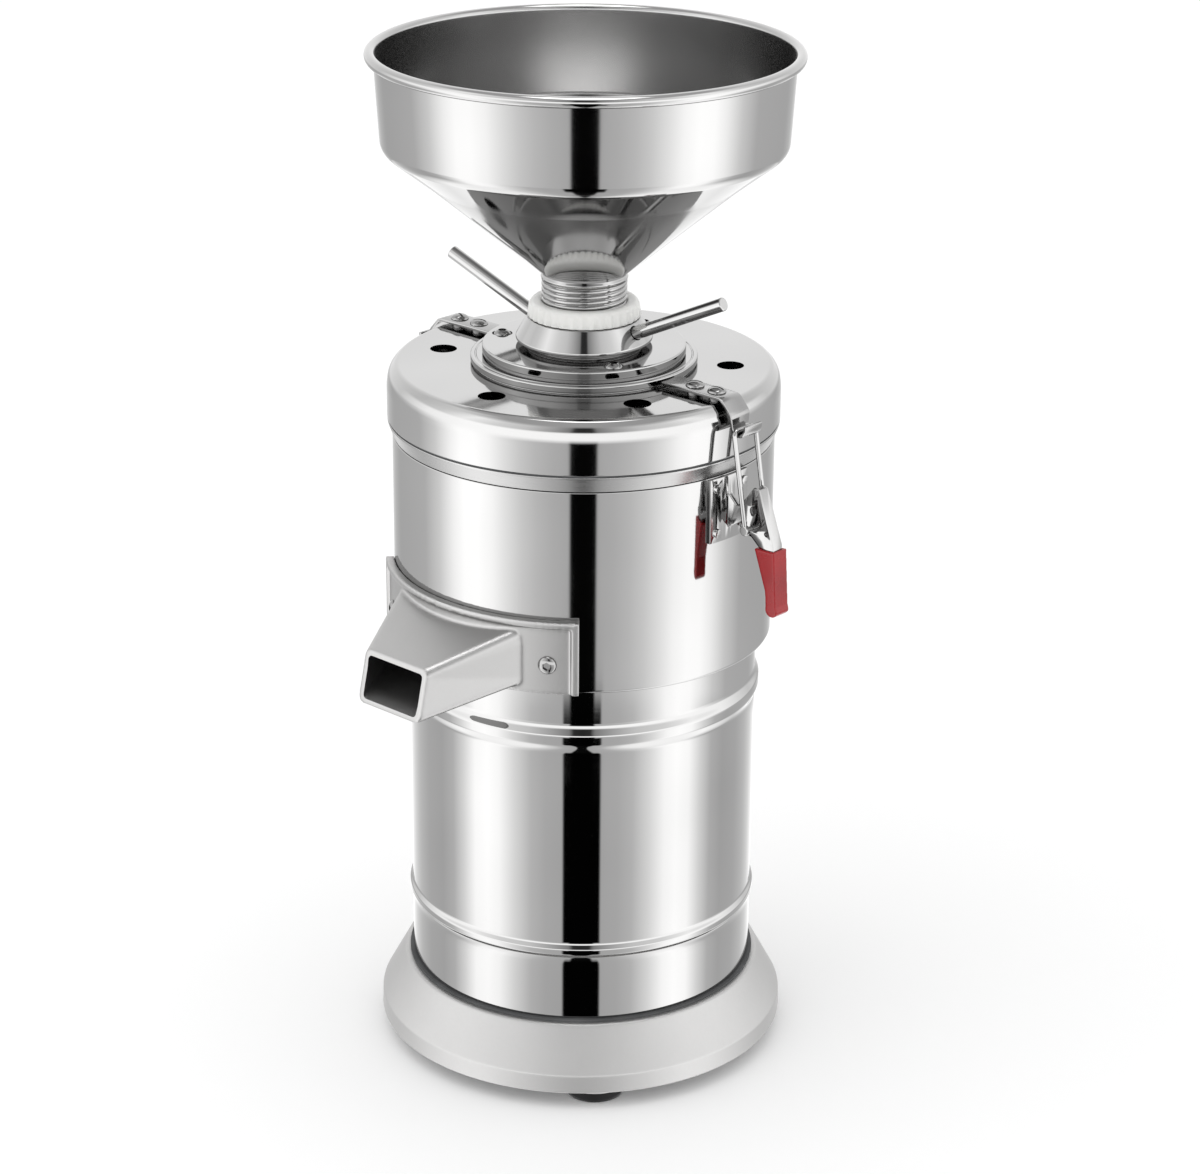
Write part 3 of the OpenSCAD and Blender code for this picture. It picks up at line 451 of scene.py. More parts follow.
def dress(piece, material, body, slot, *nodes):
    piece.data.materials.clear()
    piece.data.materials.append(material)
    for face in piece.data.polygons:
        face.material_index = 0
    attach(piece, body)
    if nodes:
        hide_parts(*nodes)
    return piece


sides = {"right": 0, "left": 180}  # the latches' directions

base = {"rim": 125, "top": 109.6, "low": 10.6, "edge": 11.6, "deck": 49.4, "wall": 5, "bore": 40,
        "padLow": 8.4, "padTop": 20, "padRadius": 22, "footPitch": 100, "footAngle": 42, "footRadius": 18,
        "footWaist": 2.2, "footHole": 3.3, "seat": 6, "seatRadius": 6.5}
footPlaces = {"foot_rear_right": base["footAngle"], "foot_rear_left": 180 - base["footAngle"],
              "foot_front_left": 180 + base["footAngle"], "foot_front_right": -base["footAngle"]}


def makeBase():
    b = base
    shell = turned("shell", fillet([
        (b["bore"], b["deck"] - b["wall"], 0), (b["bore"], b["deck"], 0.4), (b["top"] + 0.2, b["deck"], 2.6),
        (b["rim"] - 0.4, b["low"] + b["edge"], 3.2), (b["rim"], b["low"], 1.2),
        (b["rim"] - b["wall"], b["low"], 0.8), (b["rim"] - b["wall"], b["low"] + b["edge"] - 2, 2),
        (b["top"] - b["wall"] + 1, b["deck"] - b["wall"], 2)]))
    pads = []
    for az in footPlaces.values():
        pad = turned("pad", fillet([(0, b["padLow"], 0), (b["padRadius"], b["padLow"], 1),
            (b["padRadius"], b["padTop"], 0), (0, b["padTop"], 0)]), 64)
        pads.append(moved(pad, turn(az) @ shift(b["footPitch"], 0, 0)))
    dress(joined("baseCasting", [shell] + pads), baseAlloy, "frame", "cast_aluminium", "base_casting")
    for node, az in footPlaces.items():
        r, top = b["footRadius"], b["padLow"]
        foot = turned(node.replace("_", "") + "Pad", fillet([(b["seatRadius"], 0, 0.4), (r - 0.9, 0, 0.7),
            (r, b["footWaist"], 0.8), (r - 1.5, top, 0.5), (b["footHole"], top, 0),
            (b["footHole"], b["seat"], 0), (b["seatRadius"], b["seat"], 0)]), 72)
        moved(foot, turn(az) @ shift(b["footPitch"], 0, 0))
        dress(foot, blackRubber, "frame", "black_rubber", node)


makeBase()
print("base done")

spout = {"reach": 156, "lip": 8, "half": 25.3, "top": 289.4, "height": 33.8, "flare": 0.45, "roof": 0.32,
         "floor": 0.25, "back": 86, "wall": 3, "saddle": 42, "saddleLow": 266.7, "saddleTop": 312, "plate": 3,
         "edge": 2.2, "rimWidth": 4, "corner": 4.4, "innerCorner": 2.6, "drum": 113.4, "screwAz": 33,
         "screwHeight": 285, "slotHalf": 3, "slotReach": 6, "past": 14}


def ductSection(inset, y, tilt, corner):
    # a rounded section of the duct; tilt leans it back towards its top
    s = spout
    middle = -(s["reach"] + s["lip"] / 2)
    half = s["half"] - inset + s["flare"] * (y - middle)
    top = s["top"] - inset + s["roof"] * (y + s["reach"])
    low = s["top"] - s["height"] + inset + s["floor"] * (y + s["reach"] + s["lip"])
    ring = []
    for cx, cz, a0 in ((half, top, 0), (-half, top, 90), (-half, low, 180), (half, low, 270)):
        ox, oz = cx - math.copysign(corner, cx), cz - (corner if cz == top else -corner)
        for k in range(7):
            t = math.radians(a0 + 15 * k)
            x, z = ox + corner * math.cos(t), oz + corner * math.sin(t)
            ring.append((x, y + tilt * (z - (top + low) / 2), z))
    return ring


def duct(inset, far, corner):
    s = spout
    lean = s["lip"] / s["height"]
    front = ductSection(inset, -(s["reach"] + s["lip"] / 2) - far, lean, corner)
    back = ductSection(inset, -s["back"], 0, corner)
    size = len(front)
    faces = [tuple(range(size)), tuple(reversed(range(size, 2 * size)))]
    faces += [(i, size + i, size + (i + 1) % size, (i + 1) % size) for i in range(size)]
    return meshPiece("duct", front + back, faces)


def band(inner, outer, half, low, high, name="band"):
    outline = [(inner, low), (outer, low), (outer, high), (inner, high)]
    return turned(name, outline, 96, 32, -90 - half, 2 * half)


def makeSpout():
    s = spout
    low, high, away = 230, 350, 130  # the cutters run well past the saddle
    face = s["drum"] + s["plate"]
    body = combined(duct(0, 0, s["corner"]), [rod(s["drum"] + 1.5, low, high, 256)])
    saddle = band(s["drum"], face + s["edge"], s["saddle"], s["saddleLow"], s["saddleTop"], "saddle")
    combined(saddle, [band(face, away, s["saddle"] - 2.2, 240, s["saddleTop"] - s["rimWidth"])])
    combined(body, [saddle], "UNION")
    moulded(body, 0.8, 9)
    cuts = [duct(s["wall"] + 0.4, s["past"], s["innerCorner"]), rod(s["drum"], low, high, 256)]
    a, b = s["slotReach"], s["slotHalf"]
    for side in (-1, 1):
        slot = prism("slot", fillet([(-a, -b, b), (a, -b, b), (a, b, b), (-a, b, b)]), 0, 30, 0)
        place = shift(s["drum"] - 5, -side * 3, s["screwHeight"]) @ turn(-90)
        cuts.append(moved(slot, turn(-90 + side * s["screwAz"]) @ place))
    combined(body, cuts, degrees=40)
    dress(body, castAlloy, "frame", "cast_aluminium", "spout")


makeSpout()
print("spout done")

can = {"drum": 113.4, "sheet": 2, "low": 266.7, "floor": 4, "ring": 389.4, "rimTop": 399.2, "rim": 116.2,
       "barrel": 104.9, "barrelLow": 51.1, "barrelWall": 1.5, "bead": 2.4, "upper": (226, 242),
       "lower": (92, 100),
       "rocker": 160, "rockerHalf": (14.1, 11.1), "gland": 74, "glandRadius": 7.1, "shaftHole": 23}


def beadAt(z):
    c = can
    for (low, high), depth in ((c["upper"], c["bead"]), (c["lower"], c["bead"] * 0.7)):
        if low - 1.5 < z < high + 1.5:
            t = (z - low + 1.5) / (high - low + 3)
            return depth * min(1, 1.25 * math.sin(math.pi * t) ** 2)
    return 0


def makeCan():
    c = can
    inside, floor = c["drum"] - c["sheet"], c["low"] + c["floor"]
    drum = turned("grindingDrum", fillet([(c["shaftHole"], c["low"], 0), (c["drum"], c["low"], 1.6),
        (c["drum"], c["ring"], 0.5), (inside, c["ring"], 0.4), (inside, floor, 1),
        (c["shaftHole"], floor, 0)]), 288)
    combined(drum, [duct(spout["wall"], spout["past"], 3)])
    dress(drum, drumSteel, "frame", "mirror_steel", "drum")
    ring = turned("rimRing", fillet([(c["drum"] - 5, c["ring"] + 0.3, 0),
        (c["drum"] - 0.3, c["ring"] + 0.3, 0.5),
        (c["rim"], c["rimTop"] - 1, 0.8), (c["rim"], c["rimTop"], 0.3),
        (c["drum"] - 5, c["rimTop"], 0)]), 288)
    dress(ring, rimSteel, "frame", "mirror_steel", "rim_ring")
    heights = [c["barrelLow"] + 0.4]  # close rows at the beads only
    while heights[-1] < c["low"] - 1:
        z = heights[-1]
        near = any(low - 4 < z < high + 4 for low, high in (c["upper"], c["lower"]))
        heights.append(z + (0.5 if near else 4))
    heights[-1] = c["low"] - 0.2
    outer = [(c["barrel"] + beadAt(z), z) for z in heights]
    inner = [(r - c["barrelWall"], z) for r, z in reversed(outer)]
    barrel = turned("motorBarrel", outer + inner, 288)
    near, far = 60, 130  # the rear wall lies between
    hole = moved(rod(c["glandRadius"], near, far), shift(0, 0, c["gland"]) @ turn(-90, "X"))
    wide, tall = c["rockerHalf"]
    window = block(-wide, wide, near, far, c["rocker"] - tall, c["rocker"] + tall)
    combined(barrel, [window, hole])
    dress(barrel, barrelSteel, "frame", "mirror_steel", "motor_barrel")


makeCan()
print("drum and barrel done")

cover = {"low": 400.2, "top": 432, "radius": 116.4, "wall": 3, "hole": 40, "land": 66.9,
         "landTop": 437.2, "rim": 4.2, "waist": 65.4, "ventRadius": 8, "ventPitch": 86.4,
         "vents": (-151.5, -84.5, -26.4, 37.5, 122),
         "plate": 60, "plateTop": 443.7, "plateBore": 30.05, "screwPitch": 51, "screwSeat": 6.1,
         "plateScrews": (88, 205, 332.5), "strapScrews": (87, 103.5), "boss": 4.6, "bossTop": 434}


def makeCover():
    c = cover
    r, land, top = c["radius"], c["land"], c["landTop"]
    lid = turned("lid", fillet([(c["hole"], c["top"] - c["wall"], 0), (c["hole"], top, 0.5),
        (land - 3.6, top, 0.15), (land - 3.2, top - 0.5, 0.15), (land - 2.7, top - 0.5, 0.15),
        (land - 2.3, top, 0.3), (land, top, 1.9),
        (land, top - c["rim"], 1.7), (c["waist"], top - c["rim"], 0.3), (c["waist"], c["top"], 0.3),
        (r - 5.6, c["top"], 4), (r - 1.4, c["top"] - 4.5, 10), (r, c["top"] - 11, 30), (r, c["low"], 0.7),
        (r - c["wall"], c["low"], 0.4), (r - c["wall"], c["top"] - 13, 12),
        (r - 8, c["top"] - c["wall"], 6)], 5), 288)
    combined(lid, [moved(rod(c["ventRadius"], c["top"] - 9, c["top"] + 5, 96),
        turn(az) @ shift(c["ventPitch"], 0, 0)) for az in c["vents"]])
    bosses = [moved(rod(c["boss"], c["top"] - 1, c["bossTop"], 32), turn(az) @ shift(reach, 0, 0))
        for az in sides.values() for reach in c["strapScrews"]]
    dress(joined("coverLid", [lid] + bosses), coverSteel, "frame", "mirror_steel", "cover")
    rim, bore = c["plate"], c["plateBore"]
    plate = turned("thrustPlateTurned", fillet([(bore, top, 0), (rim - 1.5, top, 0),
        (rim - 1.5, top + 1.2, 0.2), (rim, top + 1.2, 0.3), (rim, c["plateTop"], 1.0),
        (bore, c["plateTop"], 0.2)]), 256)
    combined(plate, [moved(rod(c["screwSeat"], c["plateTop"] - 1.5, c["plateTop"] + 3),
        turn(az) @ shift(c["screwPitch"], 0, 0)) for az in c["plateScrews"]])
    dress(plate, coverSteel, "frame", "mirror_steel", "thrust_plate")


makeCover()
print("cover done")

collar = {"low": 443.7, "hub": 446.2, "top": 459.9, "hubRadius": 34, "radius": 40.3, "topRadius": 33.5,
          "bore": 30.05, "rodRadius": 4, "rodStart": 35.9, "rodHeight": 454.97, "rodRise": 25,
          "rodAngle": 9, "rodLength": 66, "rodIn": 2.6, "rodGap": 0.55}
nut = {"low": 460.35, "height": 9.6, "radius": 33.4, "taper": 1.1, "bore": 25.25, "ribs": 36, "depth": 0.75}
neck = {"low": 429.9, "top": 482.75, "radius": 25.2, "bore": 21, "pitch": 3.1, "depth": 0.95, "row": 0.31,
        "runOut": 1.2, "crest": 1.55}
hopper = {"foot": 482.75, "corner": 562, "top": 615.15, "neck": 25.1, "bore": 21, "footRadius": 118,
          "topRadius": 121.2, "sheet": 1.5, "lip": 3.3}


def makeCollar():
    c = collar
    cone = turned("adjustingCollar", fillet([(c["bore"], c["low"], 0), (c["hubRadius"], c["low"], 0.2),
        (c["hubRadius"], c["hub"], 0.4), (c["radius"], c["hub"], 0.9), (c["radius"] - 0.1, c["hub"] + 2, 1.0),
        (c["topRadius"], c["top"], 0.8), (c["bore"], c["top"], 0.2)]), 256)
    lean = [turn(c["rodAngle"] + side) @ shift(c["rodStart"], 0, c["rodHeight"])
        @ turn(90 - c["rodRise"], "Y")
        for side in (0, 180)]
    combined(cone, [moved(rod(c["rodRadius"] + c["rodGap"], -c["rodIn"], 60), place) for place in lean])
    dress(cone, coverSteel, "collar", "mirror_steel", "adjust_collar")
    for node, place in zip(("rod_right", "rod_left"), lean):
        r, inner, outer = c["rodRadius"], -c["rodIn"], c["rodLength"]
        bar = turned(node.replace("_", "") + "Bar",
            fillet([(0, inner, 0), (r, inner, 0), (r, outer, 0.7), (0, outer, 0)]), 64)
        dress(moved(bar, place), brightMetal, "collar", "bright_chrome", node)


def makeNut():
    n = nut
    columns = n["ribs"] * 10
    top, wide, bore = n["height"], n["radius"], n["bore"]
    narrow = wide - n["taper"]
    outer = [(wide - 0.5, 0), (wide, 0.6), (wide - n["taper"] * 0.4, top * 0.45),
        (wide - n["taper"] * 0.75, top * 0.72), (narrow, top - 2.3), (narrow - 0.5, top - 1.3),
        (narrow - 1.5, top - 0.35), (narrow - 2.6, top), (bore + 1, top), (bore, top - 0.6), (bore, 0)]
    fade = [0.7, 1, 1, 0.95, 0.6, 0.25, 0, 0, 0, 0, 0]  # how deep the flutes are at each of these
    points, faces = [], []
    size = len(outer)
    for k in range(columns):
        t = 2 * math.pi * k / columns
        flute = (0.5 - 0.5 * math.cos(n["ribs"] * t)) ** 1.6
        for (r, z), share in zip(outer, fade):
            r -= n["depth"] * share * flute
            points.append((r * math.cos(t), r * math.sin(t), z + n["low"]))
    for k in range(columns):
        for i in range(size):
            a, b = k * size, (k + 1) % columns * size
            faces.append((a + i, b + i, b + (i + 1) % size, a + (i + 1) % size))
    dress(meshPiece("lockNutRibbed", points, faces, 42), whiteNylon, "lock_nut", "white_nylon", "lock_nut")


def makeNeck():
    n = neck
    columns, points, faces = 160, [], []
    rows = int((n["top"] - n["low"]) / n["row"])
    for k in range(columns):
        t = 2 * math.pi * k / columns
        for i in range(rows + 1):
            z = n["low"] + (n["top"] - n["low"]) * i / rows
            lead = (z / n["pitch"] - k / columns) % 1
            crest = min(1, n["crest"] * abs(2 * lead - 1))  # flat crests, narrow roots
            fade = min(1, (n["top"] - z) / n["runOut"], (z - n["low"]) / n["runOut"])
            r = n["radius"] - n["depth"] * (1 - crest) * max(0, fade)
            points.append((r * math.cos(t), r * math.sin(t), z))
        points += [(n["bore"] * math.cos(t), n["bore"] * math.sin(t), z) for z in (n["top"], n["low"])]
    size = rows + 3
    for k in range(columns):
        a, b = k * size, (k + 1) % columns * size
        for i in range(size):
            j = (i + 1) % size
            faces.append((a + i, b + i, b + j, a + j))
    dress(meshPiece("threadedNeck", points, faces, 60), threadMetal, "neck", "satin_steel", "neck")


def makeHopper():
    h = hopper
    sheet, lip = h["sheet"], h["lip"]
    bead = (h["topRadius"] + lip - sheet, h["top"])
    curl = [(bead[0] + lip * math.cos(math.radians(a)), bead[1] + lip * math.sin(math.radians(a)), 0)
        for a in range(-123, 181, 10)]
    foot, r = h["foot"], h["neck"]
    wall = fillet([(h["bore"], foot, 0), (r, foot, 0.4), (r + 0.7, foot + 1.3, 0.8), (r - 0.9, foot + 4, 3),
        (r + 0.2, foot + 8.2, 8), (h["footRadius"], h["corner"], 9),
        (h["topRadius"] - 0.05, h["top"] - 2.8, 0)] + curl
        + [(h["topRadius"] - sheet, h["top"] - 1, 0), (h["footRadius"] - sheet, h["corner"] + 0.6, 8)])
    dress(turned("hopperBowl", wall, 320), hopperSteel, "hopper", "mirror_steel", "hopper")


makeCollar()
makeNut()
makeNeck()
makeHopper()
print("collar, nut, neck and hopper done")

latch = {"level": 434, "reach": 120, "strapWall": 2, "strapHalf": 8, "strapFrom": 68.4, "drop": 7.2,
         "hook": (126, 421), "hookRadius": 4, "hookHalf": 7, "hookTip": 1.8,
         "narrowFrom": 427.5, "narrowOver": 6,
         "wire": 1.5, "bail": (124.9, 419.1), "wrist": (134.8, 362), "leg": 9.2, "stub": 2.4, "eye": 3,
         "bend": 3.4, "eyeBend": 2}


def offsetPath(path, thick):
    # the outline of a strip that follows a path in (distance, height)
    left, right = [], []
    for i, p in enumerate(path):
        a = Vector(path[max(i - 1, 0)])
        b = Vector(path[min(i + 1, len(path) - 1)])
        along = (b - a).normalized()
        across = Vector((-along.y, along.x)) * thick / 2
        left.append(tuple(Vector(p) + across))
        right.append(tuple(Vector(p) - across))
    return left + right[::-1]


def makeStrap(side, az):
    s = latch
    mid = s["strapWall"] / 2
    hx, hz = s["hook"]
    ring = s["hookRadius"] + mid
    route = fillet([(s["strapFrom"], s["level"] + mid, 0), (s["reach"] - 6.5, s["level"] + mid, 5),
        (s["reach"] + mid, s["level"] - s["drop"], 5), (hx - ring, hz, 0)], 8, False)[:-1]
    route += [(hx + ring * math.cos(math.radians(a)), hz + ring * math.sin(math.radians(a)))
        for a in range(180, 361, 12)]
    route.append((hx + ring, hz + s["hookTip"]))
    strip = prism("strip", offsetPath(route, s["strapWall"]), -s["strapHalf"], s["strapHalf"], 0.45, 40)
    for v in strip.data.vertices:  # the hook is a little narrower than the strap
        down = (s["narrowFrom"] * 0.001 - v.co.z) / (s["narrowOver"] * 0.001)
        v.co.y *= 1 - min(1, max(0, down)) * (1 - s["hookHalf"] / s["strapHalf"])
    dress(moved(strip, turn(az)), strapSteel, "frame", "satin_steel", "strap_" + side)


def makeBail(side, az):
    s = latch
    (wx, wz), (bx, bz) = s["wrist"], s["bail"]
    along = Vector((bx - wx, 0, bz - wz)).normalized()
    corners = [Vector((wx, -s["stub"], wz)), Vector((wx, -s["leg"], wz)), Vector((bx, -s["leg"], bz))]
    corners += [Vector((p.x, -p.y, p.z)) for p in reversed(corners)]
    route = [corners[0]]
    for i in range(1, 5):
        p = corners[i]
        size = s["eyeBend"] if i in (1, 4) else s["bend"]
        a, b = (corners[i - 1] - p).normalized(), (corners[i + 1] - p).normalized()
        for k in range(9):  # a quarter turn at each corner
            t = math.pi / 2 * k / 8
            route.append(p + a * size * (1 - math.sin(t)) + b * size * (1 - math.cos(t)))
    route.append(corners[5])
    wire = swept("wire", route, s["wire"])
    eyes = []
    for way in (-1, 1):
        low, high = way * s["leg"] - s["wire"], way * s["leg"] + s["wire"]
        eye = turned("eye", fillet([(0, low, 0), (s["eye"], low, 0.6),
            (s["eye"], high, 0.6), (0, high, 0)]), 40)
        eyes.append(moved(eye, shift(wx, 0, wz) @ turn(-90, "X")))
    piece = joined("bail" + side.capitalize() + "Wire", [wire] + eyes, 50)
    dress(moved(piece, turn(az)), brightMetal, "bail_" + side, "bright_chrome", "bail_" + side)


for side, az in sides.items():
    makeStrap(side, az)
    makeBail(side, az)
    dress(softened("lever" + side.capitalize() + "Channel", ["latch_lever_" + side], 0.3), brightMetal,
        "lever_" + side, "bright_chrome", "latch_lever_" + side)
    dress(softened("bracket" + side.capitalize() + "Pressing", ["latch_bracket_" + side], 0.3), brightMetal,
        "frame", "satin_steel", "latch_bracket_" + side)
    sleeve = moulded(softened("grip" + side.capitalize() + "Sleeve", ["grip_" + side], 0), 0.45, 8)
    dress(sleeve, redVinyl, "lever_" + side, "red_vinyl", "grip_" + side)
print("latches done")

screws = {"Head Radius": 5.5, "Head Height": 3, "Slot Width": 1.3, "Slot Depth": 1.3, "Shank Radius": 2.4,
          "Shank Length": 7.9}
plateScrews = {**screws, "Head Height": 4, "Slot Width": 2.6, "Slot Depth": 2.2, "Shank Length": 14}
spoutScrews = {**screws, "Head Height": 2.6, "Slot Width": 2.6, "Slot Depth": 1.6, "Shank Length": 3.1}
strapSpins = (38, 12, 30, -20)  # how far each strap screw is turned


def screwTree(name, material, hexed):
    tree = bpy.data.node_groups.new(name, "GeometryNodeTree")
    tree.interface.new_socket("Geometry", in_out="INPUT", socket_type="NodeSocketGeometry")
    for label in screws:
        tree.interface.new_socket(label, in_out="INPUT", socket_type="NodeSocketFloat")
    tree.interface.new_socket("Geometry", in_out="OUTPUT", socket_type="NodeSocketGeometry")
    nodes, links = tree.nodes, tree.links
    given = nodes.new("NodeGroupInput")
    out = nodes.new("NodeGroupOutput")

    def make(kind, settings=None, **values):
        node = nodes.new(kind)
        for key, value in (settings or {}).items():
            setattr(node, key, value)
        for key, value in values.items():
            socket = node.inputs[key.replace("_", " ")]
            if isinstance(value, bpy.types.NodeSocket):
                links.new(value, socket)
            else:
                socket.default_value = value
        return node

    def sumOf(a, b, how="ADD"):
        node = make("ShaderNodeMath", {"operation": how})
        for socket, value in ((node.inputs[0], a), (node.inputs[1], b)):
            if isinstance(value, bpy.types.NodeSocket):
                links.new(value, socket)
            else:
                socket.default_value = value
        return node.outputs[0]

    def vector(x=0.0, y=0.0, z=0.0):
        return make("ShaderNodeCombineXYZ", None, X=x, Y=y, Z=z).outputs[0]

    radius, height = given.outputs["Head Radius"], given.outputs["Head Height"]
    dome = make("GeometryNodeMeshUVSphere", None, Segments=40, Rings=24, Radius=1.0)
    domed = make("GeometryNodeTransform", None, Geometry=dome.outputs[0],
        Scale=vector(sumOf(radius, 1.0, "MULTIPLY"), radius, sumOf(height, 1.0, "MULTIPLY")))
    skirt = make("GeometryNodeMeshCylinder", None, Vertices=40, Radius=sumOf(radius, 1.02, "MULTIPLY"),
        Depth=sumOf(height, 2.0, "MULTIPLY"))
    lifted = make("GeometryNodeTransform", None, Geometry=skirt.outputs[0],
        Translation=vector(0.0, 0.0, height))
    head = make("GeometryNodeMeshBoolean", {"operation": "INTERSECT"})
    links.new(domed.outputs[0], head.inputs["Mesh 2"])
    links.new(lifted.outputs[0], head.inputs["Mesh 2"])
    depth = given.outputs["Slot Depth"]
    if hexed:
        tool = make("GeometryNodeMeshCylinder", None, Vertices=6,
            Radius=given.outputs["Slot Width"], Depth=0.01)
    else:
        tool = make("GeometryNodeMeshCube", None, Size=vector(0.03, given.outputs["Slot Width"], 0.01))
    lift = sumOf(sumOf(height, depth, "SUBTRACT"), 0.005)
    sunk = make("GeometryNodeTransform", None, Geometry=tool.outputs[0], Translation=vector(0.0, 0.0, lift))
    cut = make("GeometryNodeMeshBoolean", {"operation": "DIFFERENCE"})
    links.new(head.outputs[0], cut.inputs["Mesh 1"])
    links.new(sunk.outputs[0], cut.inputs["Mesh 2"])
    shank = make("GeometryNodeMeshCylinder", None, Vertices=24, Radius=given.outputs["Shank Radius"],
        Depth=given.outputs["Shank Length"])
    down = make("GeometryNodeTransform", None, Geometry=shank.outputs[0],
        Translation=vector(0.0, 0.0, sumOf(given.outputs["Shank Length"], -0.498, "MULTIPLY")))
    whole = make("GeometryNodeJoinGeometry")
    links.new(cut.outputs[0], whole.inputs[0])
    links.new(down.outputs[0], whole.inputs[0])
    aim = make("GeometryNodeInputNamedAttribute", {"data_type": "FLOAT_VECTOR"}, Name="aim")
    spin = make("GeometryNodeInputNamedAttribute", {"data_type": "FLOAT_VECTOR"}, Name="spin")
    line = make("FunctionNodeAxesToRotation", {"primary_axis": "Z", "secondary_axis": "X"})
    links.new(aim.outputs[0], line.inputs[0])
    links.new(spin.outputs[0], line.inputs[1])
    placed = make("GeometryNodeInstanceOnPoints", None, Points=given.outputs["Geometry"],
        Instance=whole.outputs[0],
        Rotation=line.outputs[0])
    real = make("GeometryNodeRealizeInstances", None, Geometry=placed.outputs[0])
    coat = make("GeometryNodeSetMaterial", None, Geometry=real.outputs[0], Material=material)
    links.new(coat.outputs[0], out.inputs[0])
    return tree


def screwSet(name, places, hexed, sizes, node):
    # places are (point, direction, slot direction)
    seed = meshPiece(name, [p for p, _, _ in places], [])
    for label, column in (("aim", 1), ("spin", 2)):
        layer = seed.data.attributes.new(label, "FLOAT_VECTOR", "POINT")
        for held, place in zip(layer.data, places):
            held.vector = place[column]
    tree = screwTree(name + " tree", screwMetal, hexed)
    step = seed.modifiers.new("screws", "NODES")
    step.node_group = tree
    for item in tree.interface.items_tree:
        if item.in_out == "INPUT" and item.name in sizes:
            step[item.identifier] = sizes[item.name] * 0.001
    settle(seed)
    shadeByAngle(seed.data, 35)
    return dress(seed, screwMetal, "frame", "zinc_screw", node)


def polar(r, az, z):
    return (r * math.cos(math.radians(az)), r * math.sin(math.radians(az)), z)


def makeScrews():
    c, s = cover, spout
    up = (0, 0, 1)
    spots = [(reach, az) for az in sides.values() for reach in c["strapScrews"]]
    places = [(polar(reach, az, 436), up, polar(1, spin, 0)) for (reach, az), spin in zip(spots, strapSpins)]
    screwSet("strapScrews", places, False, screws, "strap_screws")
    places = [(polar(c["screwPitch"], az, c["plateTop"] - 1.5), up, polar(1, az + 20, 0))
        for az in c["plateScrews"]]
    screwSet("plateScrews", places, True, plateScrews, "plate_screws")
    places = [(polar(s["drum"] + s["plate"] + 0.1, az, s["screwHeight"]), polar(1, az, 0), up)
        for az in (-90 - s["screwAz"], -90 + s["screwAz"])]
    screwSet("spoutScrews", places, True, spoutScrews, "spout_screws")


makeScrews()
print("screws done")

rear = {"switch_bezel": ("switchBezelMoulding", 0.5, blackPlastic, "frame", "black_plastic"),
        "switch_rocker": ("rockerMoulding", 0.5, redPlastic, "rocker", "red_plastic"),
        "cord_gland": ("glandMoulding", 0.6, blackPlastic, "frame", "black_plastic")}
for node, (name, width, look, body, slot) in rear.items():
    dress(softened(name, [node], width), look, body, slot, node)

kept = {
    sheetMetal: ["bottom_cover"],
    screwMetal: ["foot_screws", "motor_bolts", "auger_nut", "latch_pins", "switch_pivot", "carrier_springs"],
    greyGasket: ["barrel_gasket", "cover_gasket"],
    castAlloy: ["motor_lower_bell", "motor_upper_bell"],
    machinedMetal: ["bearings", "motor_shaft", "paste_bowl", "paste_scraper", "disc_holder", "feed_auger",
        "burr_carrier"],
    coreIron: ["stator_core", "rotor_core"],
    copperWire: ["stator_windings"],
    blackPlastic: ["motor_capacitor", "cooling_fan"],
    blackRubber: ["shaft_seal"],
    darkIron: ["lower_disc", "upper_disc"],
}
for material, names in kept.items():
    for name in names:
        paint(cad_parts[name], material)
print("kept solids painted:", sum(len(names) for names in kept.values()))

studio = {"floorTone": 0.975, "floorHalf": 9, "sky": 1.0, "gain": 1.8, "fade": 0.75, "lamp": 9.0,
          "lampSize": 2.4, "lampPlace": (-0.6, -1.6, 2.6), "cameraAz": -47, "roof": 2.6}


def makeStage():
    size = studio["floorHalf"]
    mesh = bpy.data.meshes.new("floor")
    corners = [(-size, -size, 0), (size, -size, 0), (size, size, 0), (-size, size, 0)]
    mesh.from_pydata(corners, [], [(0, 1, 2, 3)])
    floor = bpy.data.objects.new("floor", mesh)
    bpy.context.scene.collection.objects.link(floor)
    material = bpy.data.materials.new("pale floor")
    material.use_nodes = True
    net = Net(material.node_tree)
    pale = net.add("ShaderNodeBsdfDiffuse", {}, {"Color": even(studio["floorTone"])})["BSDF"]
    net.add("ShaderNodeOutputMaterial", {}, {"Surface": pale})
    mesh.materials.append(material)
    floor.visible_glossy = False


def makeLamp(name, place, strength, size):
    lamp = bpy.data.lights.new(name, "AREA")
    lamp.energy = strength
    lamp.size = size
    held = bpy.data.objects.new(name, lamp)
    held.location = place
    held.rotation_euler = (Vector((0, 0, 0.3)) - Vector(place)).to_track_quat("-Z", "Y").to_euler()
    held.visible_glossy = False
    held.visible_camera = False
    bpy.context.scene.collection.objects.link(held)


def even(value):
    return (value, value, value, 1)


def stops(table):
    return [(az / 180, grey(value)) for az, value in table]


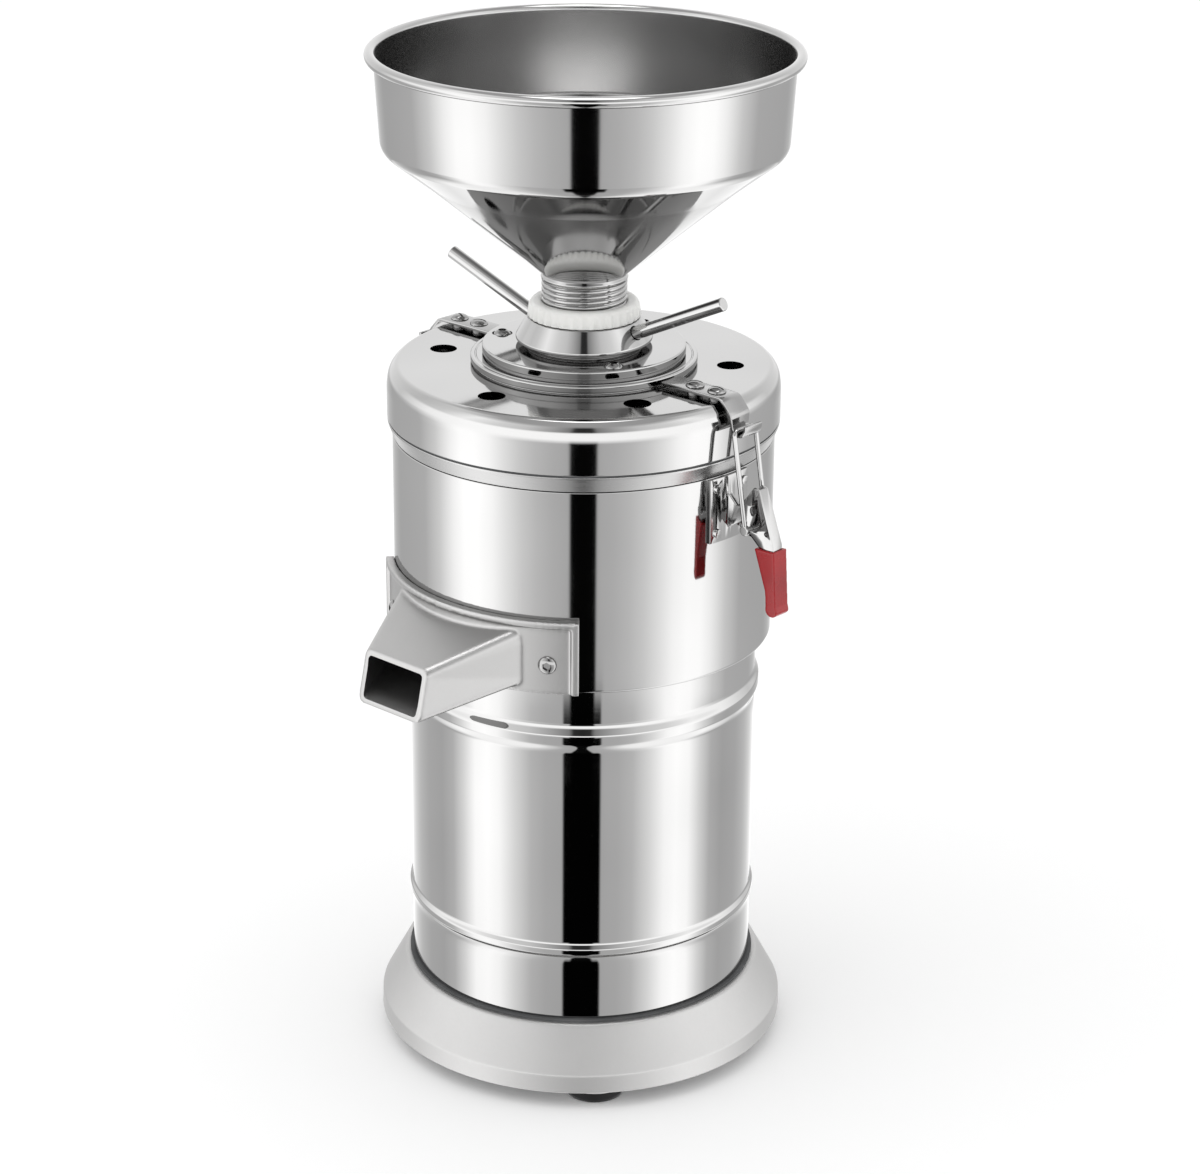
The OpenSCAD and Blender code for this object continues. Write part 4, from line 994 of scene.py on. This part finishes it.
surround = {
    # what polished metal sees round it: degrees from the line to the camera, display value
    "level": ((0, 4), (7.2, 4), (8.6, 166), (18, 172), (28, 184), (37, 200), (47, 224), (56, 246), (66, 256),
              (76, 255), (84, 240), (96, 200), (110, 168), (130, 160), (146, 152), (158, 160), (180, 190)),
    "edge": ((0, 245), (70, 250), (100, 236), (130, 190), (155, 198), (180, 206)),
    "raised": ((0, 38), (5.5, 44), (8.5, 122), (20, 158), (35, 192), (55, 208), (75, 236), (95, 200),
               (120, 182), (150, 194), (180, 208)),
    "below": ((0, 8), (7.2, 8), (8.8, 160), (28, 170), (46, 205), (58, 232), (76, 240), (180, 246)),
    "low": ((0, 2), (11.8, 2), (13, 162), (24, 166), (34, 178), (46, 214), (57, 248), (66, 256), (76, 250),
            (86, 210), (96, 172), (108, 158), (125, 160), (140, 172), (152, 190), (166, 214), (180, 224)),
}


def makeWorld():
    world = bpy.data.worlds.new("studio")
    bpy.context.scene.world = world
    world.use_nodes = True
    net = Net(world.node_tree)
    way = net.add("ShaderNodeTexCoord")["Generated"]
    t = math.radians(studio["cameraAz"])

    def along(x, y, z):
        values = {0: way, 1: (x, y, z)}
        return net.add("ShaderNodeVectorMath", {"operation": "DOT_PRODUCT"}, values)["Value"]
    towards, aside = along(math.cos(t), math.sin(t), 0), along(-math.sin(t), math.cos(t), 0)
    height = along(0, 0, 1)
    angle = abs(net.maths("ARCTAN2", aside, towards)) / math.pi
    ring = {band: net.add("ShaderNodeValToRGB", {"stops": stops(table)}, {"Fac": angle})["Color"]
        for band, table in surround.items()}
    seen = net.mix((0 - height).clamped(0.392, 0.397), ring["level"], ring["low"])
    seen = net.mix(height.clamped(-0.2, -0.08), seen, ring["edge"])
    seen = net.mix(height.clamped(0.2, 0.34), seen, ring["raised"])
    seen = net.mix(height.clamped(0.7, 0.84), seen, grey(150))
    seen = net.mix(height.clamped(0.95, 0.985), seen, even(studio["roof"]))
    seen = net.mix((0 - height).clamped(0.6, 0.76), seen, ring["below"])
    path = net.add("ShaderNodeLightPath")
    again = net.maths("MAXIMUM", path["Glossy Depth"], 1) - 1  # how often metal is seen in metal
    power = studio["gain"] / (again * studio["fade"] + 1)
    seen = net.add("ShaderNodeVectorMath", {"operation": "SCALE"}, {0: seen, "Scale": power})["Vector"]
    seen = net.mix(path["Is Diffuse Ray"], seen, even(studio["sky"]))
    seen = net.mix(path["Is Camera Ray"], seen, even(1))
    light = net.add("ShaderNodeBackground", {}, {"Color": seen, "Strength": 1.0})["Background"]
    net.add("ShaderNodeOutputWorld", {}, {"Surface": light})


view = {"place": (1.3049, -1.3994, 1.0354), "lens": 101.9, "pitch": 21.32, "yaw": 0.312, "roll": 0.416,
        "swing": 43}


def makeCamera():
    yaw, pitch, roll = (math.radians(view[k]) for k in ("yaw", "pitch", "roll"))
    ahead = Vector((math.sin(yaw) * math.cos(pitch), math.cos(yaw) * math.cos(pitch), -math.sin(pitch)))
    right = Vector((math.cos(yaw), -math.sin(yaw), 0))
    up = right.cross(ahead)
    across = right * math.cos(roll) + up * math.sin(roll)
    up = up * math.cos(roll) - right * math.sin(roll)
    swing = turn(view["swing"])
    across, up, ahead = (swing.to_3x3() @ v for v in (across, up, ahead))
    lens = bpy.data.cameras.new("camera")
    lens.lens = view["lens"]
    lens.sensor_width = 36
    camera = bpy.data.objects.new("camera", lens)
    pose = Matrix((across, up, -ahead)).transposed().to_4x4()
    pose.translation = view["place"]
    camera.matrix_world = pose
    bpy.context.scene.collection.objects.link(camera)
    bpy.context.scene.camera = camera


makeStage()
makeWorld()
makeLamp("key", studio["lampPlace"], studio["lamp"], studio["lampSize"])
makeCamera()
bpy.context.scene.view_settings.view_transform = "Standard"
print("stage, light and camera done")
